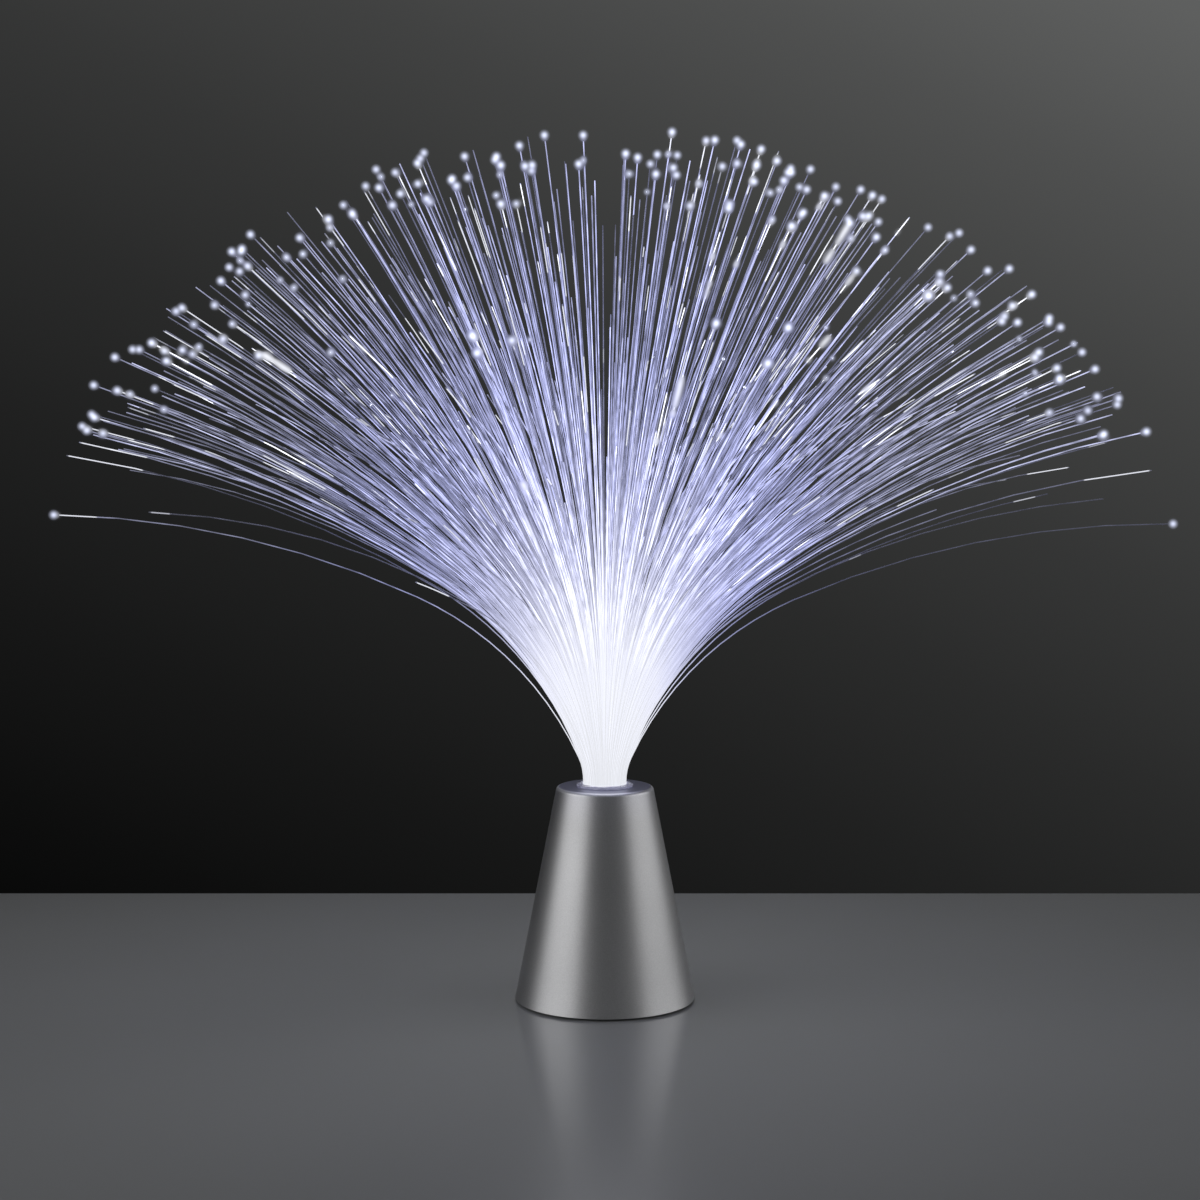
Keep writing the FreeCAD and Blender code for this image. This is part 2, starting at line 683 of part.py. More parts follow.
def make_springs():
    bow_spring("contact_spring_1", cell_place(1), STRIP_TOP)
    bow_spring("contact_spring_2", cell_place(2), TOP_STRIP, hanging=True)
    bow_spring("contact_spring_3", cell_place(3), STRIP_TOP)


# ---------------------------------------------------------------------------
# Light engine: circuit board, three light-emitting diodes and the light cup
# ---------------------------------------------------------------------------
def led_leads(number):
    """The places of the two leads of a diode."""
    turn = LUG_TURN + THIRDS[number - 1]
    x = f"{LED_CIRCLE} * cos({turn})"
    y = f"{LED_CIRCLE} * sin({turn})"
    step_x, step_y = f"lead_gap * sin({turn})", f"lead_gap * cos({turn})"
    return [{"x": f"({x} - {step_x})", "y": f"({y} + {step_y})"},
            {"x": f"({x} + {step_x})", "y": f"({y} - {step_y})"}]


def make_light_engine():
    board_holes, cup_holes, screws = [], [], []
    for number, turn in enumerate(THIRDS, start=1):
        place = around(BOARD_SCREW_CIRCLE, CELL_TURN + turn)
        board_holes.append(pilot(f"board_hole_{number}", "small", BOARD, BOARD_TOP, **place))
        cup_holes += countersink(f"cup_sink_{number}", "small", CUP_STEP, BOARD_TOP, upward=False, **place)
        screws.append(screw(f"board_screw_{number}", "small", "board_screw_length", CUP_STEP,
                            upward=False, **place))
        dome = f"({LED_TIP} - led_radius)"
        led_place = around(LED_CIRCLE, LUG_TURN + turn)
        rim_top = f"({BOARD_TOP} + led_rim_height)"
        pieces = [
            cylinder(f"led_rim_{number}", "led_rim", BOARD_TOP, rim_top, **led_place),
            cylinder(f"led_body_{number}", "led_radius", BOARD_TOP, dome, **led_place),
            ball(f"led_dome_{number}", "led_radius", dome, **led_place),
        ]
        for side, lead_place in enumerate(led_leads(number), start=1):
            lead = f"{number}_{side}"
            pieces.append(cylinder(f"lead_{lead}", "lead_radius", f"({BOARD} - lead_tail)", BOARD_TOP,
                                   **lead_place))
            board_holes.append(cylinder(f"lead_hole_{lead}", "(lead_radius + screw_play)", BOARD,
                                        BOARD_TOP, **lead_place))
        keep(f"led_{number}", fused(f"led_blank_{number}", pieces))
    disc = cylinder("board_disc", "board_radius", BOARD, BOARD_TOP)
    keep("led_board", cut("board_cut", disc, board_holes))
    keep("board_screws", group("board_screw_set", screws))

    chip_low = f"({BOARD} - chip_height)"
    chips = [box("driver_chip", "chip_length", "chip_width", chip_low, BOARD, x="-chip_offset")]
    for side in (-1, 1):
        chips.append(box(f"resistor_{side + 2}", "resistor_length", "resistor_width", chip_low, BOARD,
                         x=f"{side} * resistor_offset", y="-chip_offset"))
    keep("board_chips", group("board_chip_set", chips))

    floor = f"({FERRULE_END} - light_gap / 2)"
    cup = turned("cup_turned", [
        ("mirror_radius", BOARD_TOP),
        ("board_radius", BOARD_TOP),
        ("board_radius", CUP_STEP),
        (CUP_RADIUS, CUP_STEP),
        (CUP_RADIUS, CUP_TOP),
        (SOCKET_RADIUS, CUP_TOP),
        (SOCKET_RADIUS, floor),
        (FERRULE_BORE, floor),
    ])
    key_y = "(ferrule_radius + key_reach + key_play)"
    cup_holes.append(box("cup_key_slot", "(key_width + 2 * key_play)", key_y, floor, CUP_TOP,
                         y=f"({key_y} / 2)"))
    keep("light_cup", cut("cup_cut", cup, cup_holes))


# ---------------------------------------------------------------------------
# Slide switch
# ---------------------------------------------------------------------------
def make_switch():
    """The slider's knob reaches down through the cover; at rest it stands at the ON end."""
    ear_top = f"({COVER_TOP} + ear_thick)"
    long_ear = "(switch_length + 2 * switch_ear)"
    top = f"({COVER_TOP} + switch_height)"
    blank = [
        box("switch_case", "switch_width", "switch_length", COVER_TOP, top, x=SWITCH_X),
        box("switch_ears", "switch_width", long_ear, COVER_TOP, ear_top, x=SWITCH_X),
    ]
    holes = [box("switch_room", "(slider_width + 2 * slider_play)",
                 "(slider_length + switch_travel + 2 * slider_play)",
                 COVER_TOP, f"({COVER_TOP} + slider_thick + 2 * slider_play)", x=SWITCH_X)]
    for side in (-1, 1):
        holes += countersink(f"ear_sink_{side + 2}", "small", ear_top, COVER_TOP, SWITCH_X,
                             f"{side} * {SWITCH_SCREW_Y}", upward=False)
    keep("switch_body", cut("switch_cut", fused("switch_blank", blank), holes))

    rest_y = "(switch_travel / -2)"
    plate_low = f"({COVER_TOP} + slider_play)"
    plate = box("slider_plate", "slider_width", "slider_length", plate_low, f"({plate_low} + slider_thick)",
                x=SWITCH_X, y=rest_y)
    knob = box("slider_knob", "knob_width", "knob_length", "knob_gap", plate_low, x=SWITCH_X, y=rest_y)
    grooves = []
    for step in (-1, 0, 1):
        grooves.append(box(f"knob_groove_{step + 2}", "knob_width", "knob_groove", "knob_gap",
                           "(knob_gap + knob_groove)", x=SWITCH_X,
                           y=f"({rest_y} + {step} * knob_length / 4)"))
    keep("switch_slider", cut("slider_cut", fused("slider_blank", [plate, knob]), grooves))

    lugs = []
    for side in (-1, 1):
        lugs.append(box(f"lug_{side + 2}", "terminal_wide", "terminal_thick", top,
                        f"({top} + terminal_high)", x=SWITCH_X, y=f"{side} * switch_length / 3"))
    keep("switch_lugs", group("switch_lug_set", lugs))


# ---------------------------------------------------------------------------
# Wires
# ---------------------------------------------------------------------------
ARC_SHARE = 0.45


def round_point(circle, turn, level):
    """A point given by its distance from the axis, its direction and its level."""
    angle = math.radians(turn)
    return Vector(circle * math.cos(angle), circle * math.sin(angle), level)


def wire(name, points):
    """A round wire along straight runs that are joined by tangent arcs.

    Each arc is as large as its two runs allow.
    """
    edges, radii = [], []
    start = points[0]
    for before, corner, after in zip(points, points[1:], points[2:]):
        arrive = (corner - before).normalize()
        leave = (after - corner).normalize()
        half_turn = arrive.getAngle(leave) / 2
        reach = ARC_SHARE * min((corner - before).Length, (after - corner).Length)
        radius = reach / math.tan(half_turn)
        arc_start, arc_end = corner - arrive * reach, corner + leave * reach
        inward = (leave - arrive).normalize()
        middle = corner + inward * (radius / math.cos(half_turn) - radius)
        edges.append(Part.LineSegment(start, arc_start).toShape())
        edges.append(Part.Arc(arc_start, middle, arc_end).toShape())
        radii.append(round(radius, 1))
        start = arc_end
    edges.append(Part.LineSegment(start, points[-1]).toShape())
    path = Part.Wire(edges)
    section = Part.Circle(points[0], points[1] - points[0], value("wire_radius")).toShape()
    item = doc.addObject("Part::Feature", f"{name}_run")
    item.Shape = path.makePipe(Part.Face(Part.Wire(section)))
    keep(name, item)
    print(f"{name}: length {path.Length:.1f} mm, bend radii {radii} mm")


def make_wires():
    """The wires hang beside the tray, between its top and the switch under it."""
    lug_top = value(f"({COVER_TOP} + switch_height + terminal_high)")
    lug_y = value("switch_length / 3")
    switch_x = value(SWITCH_X)
    tray_top, board = value(TRAY_TOP), value(BOARD)
    fall = tray_top - lug_top
    beside = value(f"({TRAY_RADIUS} + wire_gap)")
    wide = value("2 * wire_radius")
    tab = Vector(value("tab_offset"), value(CELL_CIRCLE), 0)
    face = tab + round_point(value("strip_thick / 2 + screw_play"), TAB_TURN, 0)
    over_tray = tray_top + 1.3 * wide
    wire("supply_wire", [
        Vector(face.x, face.y, over_tray),
        round_point(beside + wide, 67, over_tray),
        round_point(beside + 0.4 * wide, 62, tray_top - 0.24 * fall),
        round_point(beside + 0.4 * wide, 52, tray_top - 0.60 * fall),
        round_point(beside + 2.6 * wide, 34, lug_top + 0.18 * fall),
        round_point(switch_x + 0.3 * wide, 14, lug_top + 0.14 * fall),
        Vector(switch_x, lug_y, lug_top + 3 * wide),
        Vector(switch_x, lug_y, lug_top),
    ])
    under_board = board - 0.7 * wide
    wire("switched_wire", [
        Vector(switch_x, -lug_y, lug_top),
        Vector(switch_x, -lug_y, lug_top + 0.10 * fall),
        Vector(beside + 2.2 * wide, -lug_y - wide, lug_top + 0.24 * fall),
        Vector(beside + 0.3 * wide, -lug_y, tray_top - 0.48 * fall),
        Vector(beside, -2.5 * wide, tray_top - 0.18 * fall),
        Vector(beside - 0.2 * wide, -1.5 * wide, under_board),
        Vector(value("board_radius") - 3.4 * wide, -0.5 * wide, under_board),
    ])


# ---------------------------------------------------------------------------
# Spray: ferrule, potted root, glue bead and fibres
# ---------------------------------------------------------------------------
# The bead's outline in shares of its width and height.
BEAD_SHAPE = ((0, 0), (1, 0), (0.87, 0.55), (0.5, 1), (0.13, 0.85))


def make_ferrule():
    sleeve = turned("ferrule_turned", [
        (FERRULE_BORE, FERRULE_END),
        ("ferrule_radius", FERRULE_END),
        ("ferrule_radius", SHELL_TOP),
        ("flange_radius", SHELL_TOP),
        ("flange_radius", COLLAR_TOP),
        (FERRULE_BORE, COLLAR_TOP),
    ])
    rounded(sleeve, "flange_thick / 3", "flange_radius", COLLAR_TOP)
    key_deep = "(key_reach + key_root)"
    key = box("ferrule_key", "key_width", key_deep, f"({FERRULE_END} + key_start)", SHELL_TOP,
              y=f"(ferrule_radius + key_reach - {key_deep} / 2)")
    keep("fibre_ferrule", fused("ferrule_blank", [sleeve, key]))
    keep("bundle_root", cylinder("potted_root", f"({FERRULE_BORE} - glue_play)", FERRULE_END, ROOT_TOP))
    inner = f"({BUNDLE_RADIUS} + fibre_radius + bead_play)"
    keep("glue_bead", turned("bead_turned", [
        (f"({inner} + bead_width * {across})", f"({COLLAR_TOP} + bead_height * {up})")
        for across, up in BEAD_SHAPE
    ]))


# In a sunflower pattern the nearest neighbours stand SUNFLOWER_STEP scale steps apart.
GOLDEN_TURN = 180 * (3 - math.sqrt(5))
SUNFLOWER_STEP = 1.545
FIBRE_COUNT = round((SUNFLOWER_STEP * value(BUNDLE_RADIUS) / value("2 * fibre_radius + fibre_gap")) ** 2)

# The tips cover a cap of SPREAD_ANGLE degrees; at its tip a fibre leans TIP_TO_END times further
# than the tip itself, and takes its turn in three arcs: neck, bend and the rest.
SPREAD_ANGLE = 59.0
TIP_TO_END = 1.35
CAP_POWER = 1.9
NECK_SHARE = 0.27
BEND_SHARE = 0.45
LEAST_TURN = 1.5
# Slow waves gather the fibres into clumps: degrees, steps along x and y, and a start.
WAVES_X = ((1.6, 0.0, 0.31, 1.1), (1.1, 0.36, 0.27, 0.4))
WAVES_Y = ((1.6, 0.29, 0.0, 2.3), (1.1, 0.33, -0.25, 1.9))
# A slit parts the spray beside its middle: its direction, half width and fade in degrees.
SLIT_ANGLE, SLIT_HALF_ANGLE, SLIT_FADE_ANGLE = -1.5, 2.2, 9.0
STRAY_ANGLE = 1.1
# Some of the outermost fibres hang out further than the rest.
WILD_FROM, WILD_CHANCE, WILD_ANGLE = 0.97, 0.35, 12.0
# Some fibres are cut short; the others are almost full length. Shares of that length.
CUT_CHANCE, CUT_LEAST_SHARE, CUT_RANGE_SHARE = 0.36, 0.44, 0.48
FULL_RANGE_SHARE, FULL_POWER = 0.06, 1.5
# One number for each thing that is drawn by chance.
STRAY_X, STRAY_Y, CUT_PICK, CUT_SIZE, FULL_SIZE, WILD_PICK, WILD_SIZE = 1, 2, 3, 4, 5, 49, 92


def scatter(index, salt):
    """A repeatable number from 0 to 1 that looks random."""
    return (math.sin(index * 12.9898 + salt * 78.233) * 43758.5453) % 1


def fibre_root(index):
    """The fibres stand in a sunflower pattern; returns distance and direction from the axis."""
    share = math.sqrt((index + 0.5) / (FIBRE_COUNT - 0.5))
    return share, math.radians(index * GOLDEN_TURN)


def wave(waves, x, y):
    return sum(height * math.sin(step_x * x + step_y * y + start)
               for height, step_x, step_y, start in waves)


def fibre_lean(index):
    """How far a fibre leans over in the end, in degrees, as an x and y pair.

    The tips cover a cap of a sphere almost evenly. Slow waves gather neighbours into
    clumps, a slit parts them beside the middle, and each fibre strays a little.
    """
    share, angle = fibre_root(index)
    cap = 1 - math.cos(math.radians(SPREAD_ANGLE))
    lean = TIP_TO_END * math.degrees(math.acos(1 - cap * share ** CAP_POWER))
    if share > WILD_FROM and scatter(index, WILD_PICK) < WILD_CHANCE:
        lean += WILD_ANGLE * scatter(index, WILD_SIZE)
    x, y = lean * math.cos(angle), lean * math.sin(angle)
    side = 1 if x > SLIT_ANGLE else -1
    slit = side * SLIT_HALF_ANGLE * math.exp(-abs(x - SLIT_ANGLE) / SLIT_FADE_ANGLE)
    stray_x = STRAY_ANGLE * (scatter(index, STRAY_X) - 0.5)
    stray_y = STRAY_ANGLE * (scatter(index, STRAY_Y) - 0.5)
    return x + wave(WAVES_X, x, y) + slit + stray_x, y + wave(WAVES_Y, x, y) + stray_y


def fibre_reach(index):
    """A fibre's free length."""
    full = value("fibre_length")
    if scatter(index, CUT_PICK) < CUT_CHANCE:
        return full * (CUT_LEAST_SHARE + CUT_RANGE_SHARE * scatter(index, CUT_SIZE))
    return full * (1 - FULL_RANGE_SHARE * scatter(index, FULL_SIZE) ** FULL_POWER)


def fibre_solid(index, root_level, bend_level, bundle_radius):
    """One fibre: straight in the ferrule, then three arcs that run on from each other.

    A fibre that is cut short follows the line of a full one and ends sooner.
    """
    share, angle = fibre_root(index)
    lean_x, lean_y = fibre_lean(index)
    total = math.radians(max(math.hypot(lean_x, lean_y), LEAST_TURN))
    heading = math.atan2(lean_y, lean_x)
    outward, up = Vector(math.cos(heading), math.sin(heading), 0), Vector(0, 0, 1)
    base = Vector(math.cos(angle), math.sin(angle), 0) * (share * bundle_radius)
    foot, bend = base + up * root_level, base + up * bend_level
    neck, bow = value("neck_length"), value("bend_length")
    tail, full_tail = fibre_reach(index) - neck - bow, value("fibre_length") - neck - bow
    tail_share = (1 - NECK_SHARE - BEND_SHARE) * tail / full_tail

    def on_arc(start, arc_radius, turn_before, turn):
        """The point reached from start after turning further outward on an arc."""
        aside = outward * (math.cos(turn_before) - math.cos(turn_before + turn))
        rise = up * (math.sin(turn_before + turn) - math.sin(turn_before))
        return start + (aside + rise) * arc_radius

    edges = [Part.LineSegment(foot, bend).toShape()]
    start, turned_so_far = bend, 0
    for length, turn_share in ((neck, NECK_SHARE), (bow, BEND_SHARE), (tail, tail_share)):
        turn = turn_share * total
        arc_radius = length / turn
        middle = on_arc(start, arc_radius, turned_so_far, turn / 2)
        end = on_arc(start, arc_radius, turned_so_far, turn)
        edges.append(Part.Arc(start, middle, end).toShape())
        start, turned_so_far = end, turned_so_far + turn
    section = Part.Circle(foot, up, value("fibre_radius")).toShape()
    return Part.Wire(edges).makePipe(Part.Face(Part.Wire(section)))


def make_fibres():
    """The fibres are bundled into tufts by the direction in which they lean."""
    root_level = value(ROOT_TOP)
    bend_level = value(f"({COLLAR_TOP} + collar_rise)")
    bundle_radius = value(BUNDLE_RADIUS)
    tufts = [[] for _ in range(TUFT_COUNT)]
    for index in range(FIBRE_COUNT):
        _, angle = fibre_root(index)
        sector = int((math.degrees(angle) % 360) / 360 * TUFT_COUNT)
        tufts[sector].append(fibre_solid(index, root_level, bend_level, bundle_radius))
    for number, solids in enumerate(tufts, start=1):
        item = doc.addObject("Part::Feature", f"tuft_{number:02d}")
        item.Shape = Part.makeCompound(solids)
        keep(f"fibre_tuft_{number:02d}", item)


# ---------------------------------------------------------------------------
# Build, check and write
# ---------------------------------------------------------------------------
make_shell()
make_cover()
make_feet()
make_door()
make_base_screws()
make_tray()
make_cells()
make_door_strips()
make_top_strips()
make_springs()
make_light_engine()
make_switch()
make_wires()
make_ferrule()
make_fibres()
doc.recompute()

for item in doc.Objects:
    if {"Invalid", "Error"} & set(item.State):
        raise RuntimeError(f"{item.Name} failed: {item.State}")
for name, item in parts.items():
    if item.Shape.isNull() or not item.Shape.isValid() or not item.Shape.Solids:
        raise RuntimeError(f"{name} has no valid solid")

os.makedirs("parts", exist_ok=True)
for name, item in parts.items():
    item.Shape.exportStep(os.path.join("parts", f"{name}.step"))
print(f"{len(parts)} sub-parts, lamp {value(SHELL_TOP):.1f} mm to the top of the base")
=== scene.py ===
# %% [markdown]
# # A fiber optic lamp
#
# The lamp is a small cone of satin silver plastic with a spray of more than nine hundred
# clear fibres standing in its top. Diodes inside the cone shine into the lower end of the
# bundle. Most of the light runs up the fibres and leaves at their far ends, and a little
# leaks out of their sides, so the bundle is white at its foot and fades to lavender.
#
# The solid parts come ready made from the CAD frame. This lesson gives each of them a
# finish, and makes the fibres and the glue around them again as finer meshes.

# %% Load the solid parts
import math

import bpy
import numpy as np
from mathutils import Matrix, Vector


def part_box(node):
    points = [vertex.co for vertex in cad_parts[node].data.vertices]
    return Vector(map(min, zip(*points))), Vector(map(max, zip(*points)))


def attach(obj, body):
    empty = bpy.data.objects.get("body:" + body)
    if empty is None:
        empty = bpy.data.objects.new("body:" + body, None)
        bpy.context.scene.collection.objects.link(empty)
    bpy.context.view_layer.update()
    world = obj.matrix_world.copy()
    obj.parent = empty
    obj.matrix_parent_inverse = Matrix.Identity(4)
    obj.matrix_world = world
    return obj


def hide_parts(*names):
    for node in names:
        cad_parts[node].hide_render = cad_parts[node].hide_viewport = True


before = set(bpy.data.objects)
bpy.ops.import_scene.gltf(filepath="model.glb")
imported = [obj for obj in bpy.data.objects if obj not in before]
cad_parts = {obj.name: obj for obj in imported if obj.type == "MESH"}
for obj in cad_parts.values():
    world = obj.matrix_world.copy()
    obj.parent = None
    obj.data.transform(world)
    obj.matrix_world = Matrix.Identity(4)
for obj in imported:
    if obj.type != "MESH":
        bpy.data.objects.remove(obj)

MM = 0.001
scene = bpy.context.scene
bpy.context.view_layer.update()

# %% [markdown]
# ## The camera
#
# A long lens a little under a metre away keeps the cone's sides straight and shows only a
# thin slice of its top. The camera looks slightly down, so the lamp stands on the floor
# instead of floating in front of it.

# %% Place the camera
CAMERA_DISTANCE = 0.933
CAMERA_HEIGHT = 0.240
CAMERA_SIDE = -0.0019
CAMERA_TILT_DOWN = 5.12
LENS_MM = 72.9
SENSOR_MM = 36.0

camera_data = bpy.data.cameras.new("lamp_camera")
camera_data.lens = LENS_MM
camera_data.sensor_width = SENSOR_MM
camera_data.clip_start = 0.01
camera = bpy.data.objects.new("lamp_camera", camera_data)
camera.location = (CAMERA_SIDE, -CAMERA_DISTANCE, CAMERA_HEIGHT)
camera.rotation_euler = (math.radians(90 - CAMERA_TILT_DOWN), 0, 0)
scene.collection.objects.link(camera)
scene.camera = camera
print("camera at", tuple(camera.location), "lens", LENS_MM, "mm")

# %% [markdown]
# ## Finishes are small networks of nodes
#
# A few helpers keep every finish below short: one starts a finish and hands back its main
# shader, one adds a node and fills its sockets, and the others stand for things that come
# up again and again. All patterns are read from object coordinates, which are metres here,
# so a pattern has the same real size on every piece and nothing needs unwrapping. A scale
# of 1000 in a noise gives a grain of about a millimetre.

# %% Helpers for finishes
def start_finish(name):
    finish = bpy.data.materials.new(name)
    finish.use_nodes = True
    tree = finish.node_tree
    return finish, tree, tree.nodes["Principled BSDF"]


def plug_in(tree, socket, source):
    """Fill a socket with a link from another node, or with a plain value."""
    if isinstance(source, bpy.types.NodeSocket):
        tree.links.new(source, socket)
    else:
        socket.default_value = source


def add_node(tree, kind, settings=None, **sockets):
    """Add a node and fill its sockets, whose names are written with underscores."""
    node = tree.nodes.new(kind)
    for name, setting in (settings or {}).items():
        setattr(node, name, setting)
    for name, source in sockets.items():
        plug_in(tree, node.inputs[name.replace("_", " ")], source)
    return node


def metres(tree):
    return add_node(tree, "ShaderNodeTexCoord").outputs["Object"]


def noise(tree, scale, detail=2.0, stretch=None):
    where = metres(tree)
    if stretch:
        where = add_node(tree, "ShaderNodeMapping", Vector=where, Scale=stretch).outputs["Vector"]
    node = add_node(tree, "ShaderNodeTexNoise", Vector=where, Scale=scale, Detail=detail)
    return node.outputs["Fac"]


def rgb(red, green, blue):
    return (red, green, blue, 1.0)


def ramp(tree, source, stops):
    """Turn a number into a colour; each stop is a place from 0 to 1 and a colour."""
    node = add_node(tree, "ShaderNodeValToRGB", Fac=source)
    band = node.color_ramp
    band.elements[0].position, band.elements[0].color = stops[0]
    band.elements[1].position, band.elements[1].color = stops[-1]
    for position, colour in stops[1:-1]:
        band.elements.new(position).color = colour
    return node.outputs["Color"]


def fit(tree, source, low, high, to_low, to_high, smooth=False):
    """Map a number from one range to another, and stop at the ends."""
    settings = {"interpolation_type": "SMOOTHSTEP"} if smooth else None
    node = add_node(
        tree, "ShaderNodeMapRange", settings,
        Value=source, From_Min=low, From_Max=high, To_Min=to_low, To_Max=to_high,
    )
    return node.outputs["Result"]


print("helpers: start_finish, plug_in, add_node, metres, noise, rgb, ramp, fit")

# %% [markdown]
# ## The floor
#
# The floor is a plain pale slab with a painted shade: its colour grows darker away from the
# lamp. It is polished around the lamp and duller further off, so the cone leaves a mirror
# image at its foot that fades. The polish is a clear coat whose weight falls with the
# distance from the lamp. The slab ends a little way behind the lamp, and that edge is the
# horizon.

# %% Lay the floor
FLOOR_BACK = 0.196
FLOOR_FRONT = -1.1
FLOOR_HALF_WIDTH = 1.1
FLOOR_THICKNESS = 0.012
FLOOR_TOP = -0.0001
POLISHED_TO, UNPOLISHED_FROM = 0.045, 0.24
PAINTED_SHADE_FROM, PAINTED_SHADE_TO = 0.08, 0.42
CLOUDS = 3.0


def blend(tree, share, under, over):
    """Lay one colour over another; each is a link or a colour."""
    node = add_node(tree, "ShaderNodeMix", {"data_type": "RGBA", "blend_type": "MIX"})
    tree.links.new(share, node.inputs["Factor"])
    plug_in(tree, node.inputs[6], under)
    plug_in(tree, node.inputs[7], over)
    return node.outputs[2]


outline = [
    (-FLOOR_HALF_WIDTH, FLOOR_FRONT), (FLOOR_HALF_WIDTH, FLOOR_FRONT),
    (FLOOR_HALF_WIDTH, FLOOR_BACK), (-FLOOR_HALF_WIDTH, FLOOR_BACK),
]
floor_mesh = bpy.data.meshes.new("floor")
floor_mesh.from_pydata(
    [(x, y, z) for z in (FLOOR_TOP - FLOOR_THICKNESS, FLOOR_TOP) for x, y in outline], [],
    [(3, 2, 1, 0), (4, 5, 6, 7), (0, 1, 5, 4), (1, 2, 6, 5), (2, 3, 7, 6), (3, 0, 4, 7)],
)
floor = bpy.data.objects.new("floor", floor_mesh)
scene.collection.objects.link(floor)

floor_finish, tree, shader = start_finish("pale_floor")
from_lamp = add_node(
    tree, "ShaderNodeVectorMath", {"operation": "LENGTH"}, Vector=metres(tree),
).outputs["Value"]
pale_tones = [(0.3, rgb(0.42, 0.43, 0.44)), (0.7, rgb(0.47, 0.48, 0.49))]
# Painted shade: these darker tones take over with distance from the lamp.
painted_shade_tones = [(0.3, rgb(0.20, 0.205, 0.21)), (0.7, rgb(0.23, 0.235, 0.24))]
pale = ramp(tree, noise(tree, CLOUDS), pale_tones)
painted_shade_colour = ramp(tree, noise(tree, CLOUDS), painted_shade_tones)
painted_shade = fit(tree, from_lamp, PAINTED_SHADE_FROM, PAINTED_SHADE_TO, 0.0, 1.0)
polish = fit(tree, from_lamp, POLISHED_TO, UNPOLISHED_FROM, 1.0, 0.0, smooth=True)
tree.links.new(blend(tree, painted_shade, pale, painted_shade_colour), shader.inputs["Base Color"])
tree.links.new(polish, shader.inputs["Coat Weight"])
shader.inputs["Roughness"].default_value = 0.30
shader.inputs["Coat IOR"].default_value = 1.7
shader.inputs["Coat Roughness"].default_value = 0.07
floor_mesh.materials.append(floor_finish)
print("floor from y", FLOOR_FRONT, "to", FLOOR_BACK, "metres")

# %% [markdown]
# ## The air behind
#
# A lamp like this only looks lit when the room isn't, so the air behind it is dim. It is a
# world colour and not a wall, so that the lamp can be seen from every side.
#
# The air grows lighter upwards and to the right. Each equal step multiplies the light by
# the same factor, as the edge of a soft spot does on a studio wall, so the stops of the ramp
# are powers. A little is taken off everywhere, so that it is nearly black low on the left.
# High overhead it is darker again, to keep the floor dim.

# %% Dim the air
AIR_SIDEWAYS = 0.50
AIR_LOW, AIR_HIGH = -0.36, 0.26
AIR_LIGHT, AIR_GROWTH = 0.0075, 4.5
AIR_LESS = 0.0063
AIR_OVERHEAD = 0.020
AIR_STOPS = 9


def work_out(tree, operation, *sources):
    node = add_node(tree, "ShaderNodeMath", {"operation": operation})
    for socket, source in zip(node.inputs, sources):
        plug_in(tree, socket, source)
    return node.outputs["Value"]


def air(slant):
    """The colour of the air at a slant, which grows upwards and to the right."""
    light = AIR_LIGHT * math.exp(AIR_GROWTH * (slant - AIR_LOW)) - AIR_LESS
    return rgb(0.98 * light, light, 0.99 * light)


world = bpy.data.worlds.new("dim_room")
scene.world = world
world.use_nodes = True
tree = world.node_tree
towards = add_node(tree, "ShaderNodeTexCoord").outputs["Generated"]
parts = add_node(tree, "ShaderNodeSeparateXYZ", Vector=towards).outputs
slant = work_out(tree, "MULTIPLY_ADD", parts["X"], AIR_SIDEWAYS, parts["Z"])
slants = np.linspace(AIR_LOW, AIR_HIGH, AIR_STOPS)
stops = [((value + 1) / 2, air(value)) for value in slants]
stops.append((1.0, rgb(AIR_OVERHEAD, AIR_OVERHEAD, AIR_OVERHEAD)))
tree.links.new(
    ramp(tree, fit(tree, slant, -1.0, 1.0, 0.0, 1.0), stops),
    tree.nodes["Background"].inputs["Color"],
)
print("the air behind goes from", round(air(AIR_LOW)[1], 4), "to", round(air(AIR_HIGH)[1], 3))

# %% [markdown]
# ## The lights
#
# Satin metal shows its shape by what it mirrors. Two wide soft panels, one at the left and
# one at the right, leave two broad upright bands of light on the cone. The gap between them
# is the narrow dark line down its middle. A weak panel overhead draws a thin line on the
# cone's rim.

# %% Hang the soft panels
def soft_panel(name, place, target, width, tall, watts):
    data = bpy.data.lights.new(name, "AREA")
    data.shape = "RECTANGLE"
    data.size = width
    data.size_y = tall
    data.energy = watts
    panel = bpy.data.objects.new(name, data)
    panel.location = place
    panel.rotation_euler = (Vector(target) - Vector(place)).to_track_quat("-Z", "Y").to_euler()
    panel.visible_camera = False
    scene.collection.objects.link(panel)


def beside(azimuth, distance, height):
    """A place around the lamp; the azimuth is 0 in front of it and grows to the right."""
    turn = math.radians(azimuth)
    return (distance * math.sin(turn), -distance * math.cos(turn), height)


CONE_MIDDLE = (0, 0, 0.05)
soft_panel("panel_left", beside(-66, 0.80, 0.27), CONE_MIDDLE, 0.92, 0.50, 1.85)
soft_panel("panel_right", beside(83, 0.80, 0.27), CONE_MIDDLE, 1.04, 0.50, 1.50)
soft_panel("panel_above", (0.1, 0.1, 1.4), (0.0, 0, 0), 1.0, 1.0, 0.8)

# %% [markdown]
# ## The satin silver cone
#
# The cone is moulded plastic under a thin metallic lacquer. The flakes in the lacquer
# scatter its mirror image, so it is a metal shader of middle roughness. A fine noise stands
# for the flakes, and a slower one for the way the spray gun laid more lacquer in some
# places than in others. Light is painted into the colour by height near the top: a faint
# bluish painted glow just below the rim, a painted highlight along the rim, and painted
# lavender light from the fibres on the flat top.

